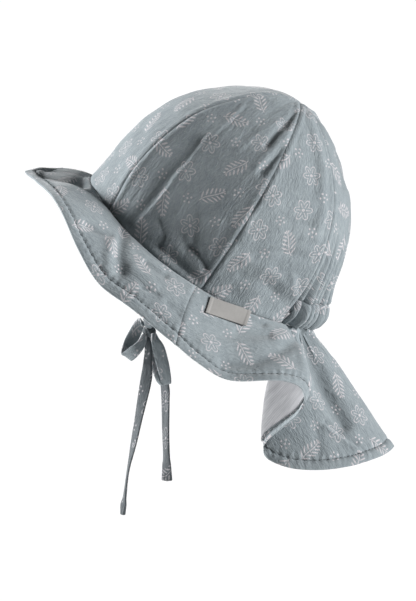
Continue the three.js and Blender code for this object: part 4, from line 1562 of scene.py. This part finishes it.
def knot_piece():
    clear_selection()
    bpy.ops.mesh.primitive_uv_sphere_add(segments=48, ring_count=32, radius=KNOT_SIZE / 2 * MM)
    knot = bpy.context.object
    knot.name = "bow_knot_cloth"
    mesh = knot.data
    flat = np.empty(3 * len(mesh.vertices))
    mesh.vertices.foreach_get("co", flat)
    ball = flat.reshape(-1, 3) / (KNOT_SIZE / 2 * MM)
    turns = np.abs(np.sin(ball @ TURN_DIRECTION)) ** 0.5
    shaped = ball * (GROOVE_FLOOR + GROOVE_DEPTH * turns)[:, None] * KNOT_SHAPE
    placed = (shaped * KNOT_SIZE / 2 + KNOT_CENTRE) * MM
    mesh.vertices.foreach_set("co", placed.ravel())
    mesh.update()
    corners = np.empty(len(mesh.loops), int)
    mesh.loops.foreach_get("vertex_index", corners)
    size, lean, shift = KNOT_UV
    pattern = np.stack([ball[:, 1] * size + shift, ball[:, 2] * size + ball[:, 0] * lean], axis=1)
    mesh.uv_layers[0].data.foreach_set("uv", pattern[corners].ravel())
    bpy.ops.object.shade_smooth()
    dress(knot, SHADED_TIE_MUSLIN, "bow_knot")


knot_piece()

# %% [markdown]
# The hem is held by a row of lockstitches. One stitch is modelled, then copied along the stitch
# line on the outside of the cloth, each copy turned to follow the hem.

# %% Hem stitches
STITCH_STEP = 3.2
STITCH_LENGTH = 2.4
STITCH_WIDTH = 0.8
STITCH_PROUD = 0.05
LINE_SAMPLES = 4000


def stitch_row(name, ends, folds, seed):
    start, end = ends
    t = np.linspace(start, end, LINE_SAMPLES)
    drop = 1 - HEM_FACING / hem_distances(t)[1]
    place = sheet_place(start, end, folds, 1, 0, seed, True)
    share = (t - start) / (end - start)
    line = place(share[None, :], (1 - drop)[None, :])[0][0]
    out = sheet_surface(t, drop)[1]
    walk = walked(line)
    stops = np.arange(STITCH_STEP, walk[-1] - STITCH_STEP / 2, STITCH_STEP)
    clear_selection()
    bpy.ops.mesh.primitive_uv_sphere_add(segments=8, ring_count=5, radius=0.5)
    model = bpy.context.object
    copies = []

    def on_line(at):
        return np.array([np.interp(at, walk, line[:, k]) for k in range(3)])

    for stop in stops:
        here = on_line(stop)
        ahead = (on_line(stop + 1) - here) / np.linalg.norm(on_line(stop + 1) - here)
        outside = out[min(int(np.searchsorted(walk, stop)), len(out) - 1)]
        normal = outside - (outside @ ahead) * ahead
        normal = normal / np.linalg.norm(normal)
        side = np.cross(normal, ahead)
        centre = here + normal * (CLOTH / 2 + STITCH_PROUD)
        axes = [ahead * STITCH_LENGTH, side * STITCH_WIDTH, normal * STITCH_WIDTH, centre]
        turn = np.eye(4)
        turn[:3] = np.stack(axes, axis=1) * MM
        copy = bpy.data.objects.new(name, model.data.copy())
        copy.data.transform(Matrix(turn))
        bpy.context.collection.objects.link(copy)
        copies.append(copy)
    bpy.data.objects.remove(model)
    for copy in copies:
        copy.select_set(True)
    bpy.context.view_layer.objects.active = copies[0]
    bpy.ops.object.join()
    row = bpy.context.object
    row.name = name
    bpy.ops.object.shade_smooth()
    dress(row, THREAD)
    print("  stitches:", len(stops))


stitch_row("brim_hem_stitches", brim_ends, "brim", BRIM_SEED)
stitch_row("flap_hem_stitches", flap_ends, "flap", FLAP_SEED)

# %% [markdown]
# The light is a plain soft studio. One broad light stands before the hat and one behind it, so the
# side that faces the camera gets little of either, and the crown's side gore is the darkest part of
# the hat. A weak light from below, on the camera's side, and a faint even light from everywhere
# fill the shade. The numbers are strength and how many degrees wide the light looks.

# %% Light
LIGHTS = table("name source strength spread", [
    ("front_light", (-0.15, -0.95, 0.33), 6.5, 26),
    ("back_light", (0.14, 0.98, 0.14), 5.2, 26),
    ("low_fill", (0.3, -0.32, -0.9), 2.7, 50),
])
EVEN_LIGHT = 0.08


def soft_sun(name, source, strength, spread):
    data = bpy.data.lights.new(name, "SUN")
    data.energy = strength
    data.angle = np.radians(spread)
    sun = bpy.data.objects.new(name, data)
    sun.rotation_euler = Vector(source).to_track_quat("Z", "Y").to_euler()
    bpy.context.collection.objects.link(sun)


for light in LIGHTS:
    soft_sun(**light)
world = bpy.data.worlds.new("studio")
world.use_nodes = True
background = world.node_tree.nodes["Background"]
background.inputs["Color"].default_value = colour("#ffffff")
background.inputs["Strength"].default_value = EVEN_LIGHT
bpy.context.scene.world = world
print("lights:", len(LIGHTS))

# %% [markdown]
# The floor is a wide sheet of white paper far below, so it fills the picture's background. It
# glows a little, to stay white where the lights reach it flatly. It throws no light up at the hat
# and doesn't block the light from below.

# %% Floor
FLOOR_HEIGHT = -300
FLOOR_SIZE = 60
FLOOR_GLOW = 0.06

clear_selection()
bpy.ops.mesh.primitive_plane_add(size=FLOOR_SIZE, location=(0, 0, FLOOR_HEIGHT * MM))
floor = bpy.context.object
floor.name = "floor"
paper, _, paper_shader = new_material("white_paper", Roughness=0.9, Specular_IOR_Level=0.1)
paper_shader.inputs["Base Color"].default_value = colour("#ffffff")
paper_shader.inputs["Emission Color"].default_value = colour("#ffffff")
paper_shader.inputs["Emission Strength"].default_value = FLOOR_GLOW
floor.data.materials.append(paper)
floor.visible_diffuse = False
floor.visible_shadow = False
bpy.context.scene.view_settings.view_transform = "Standard"
print("floor:", -FLOOR_HEIGHT, "mm below the head opening")
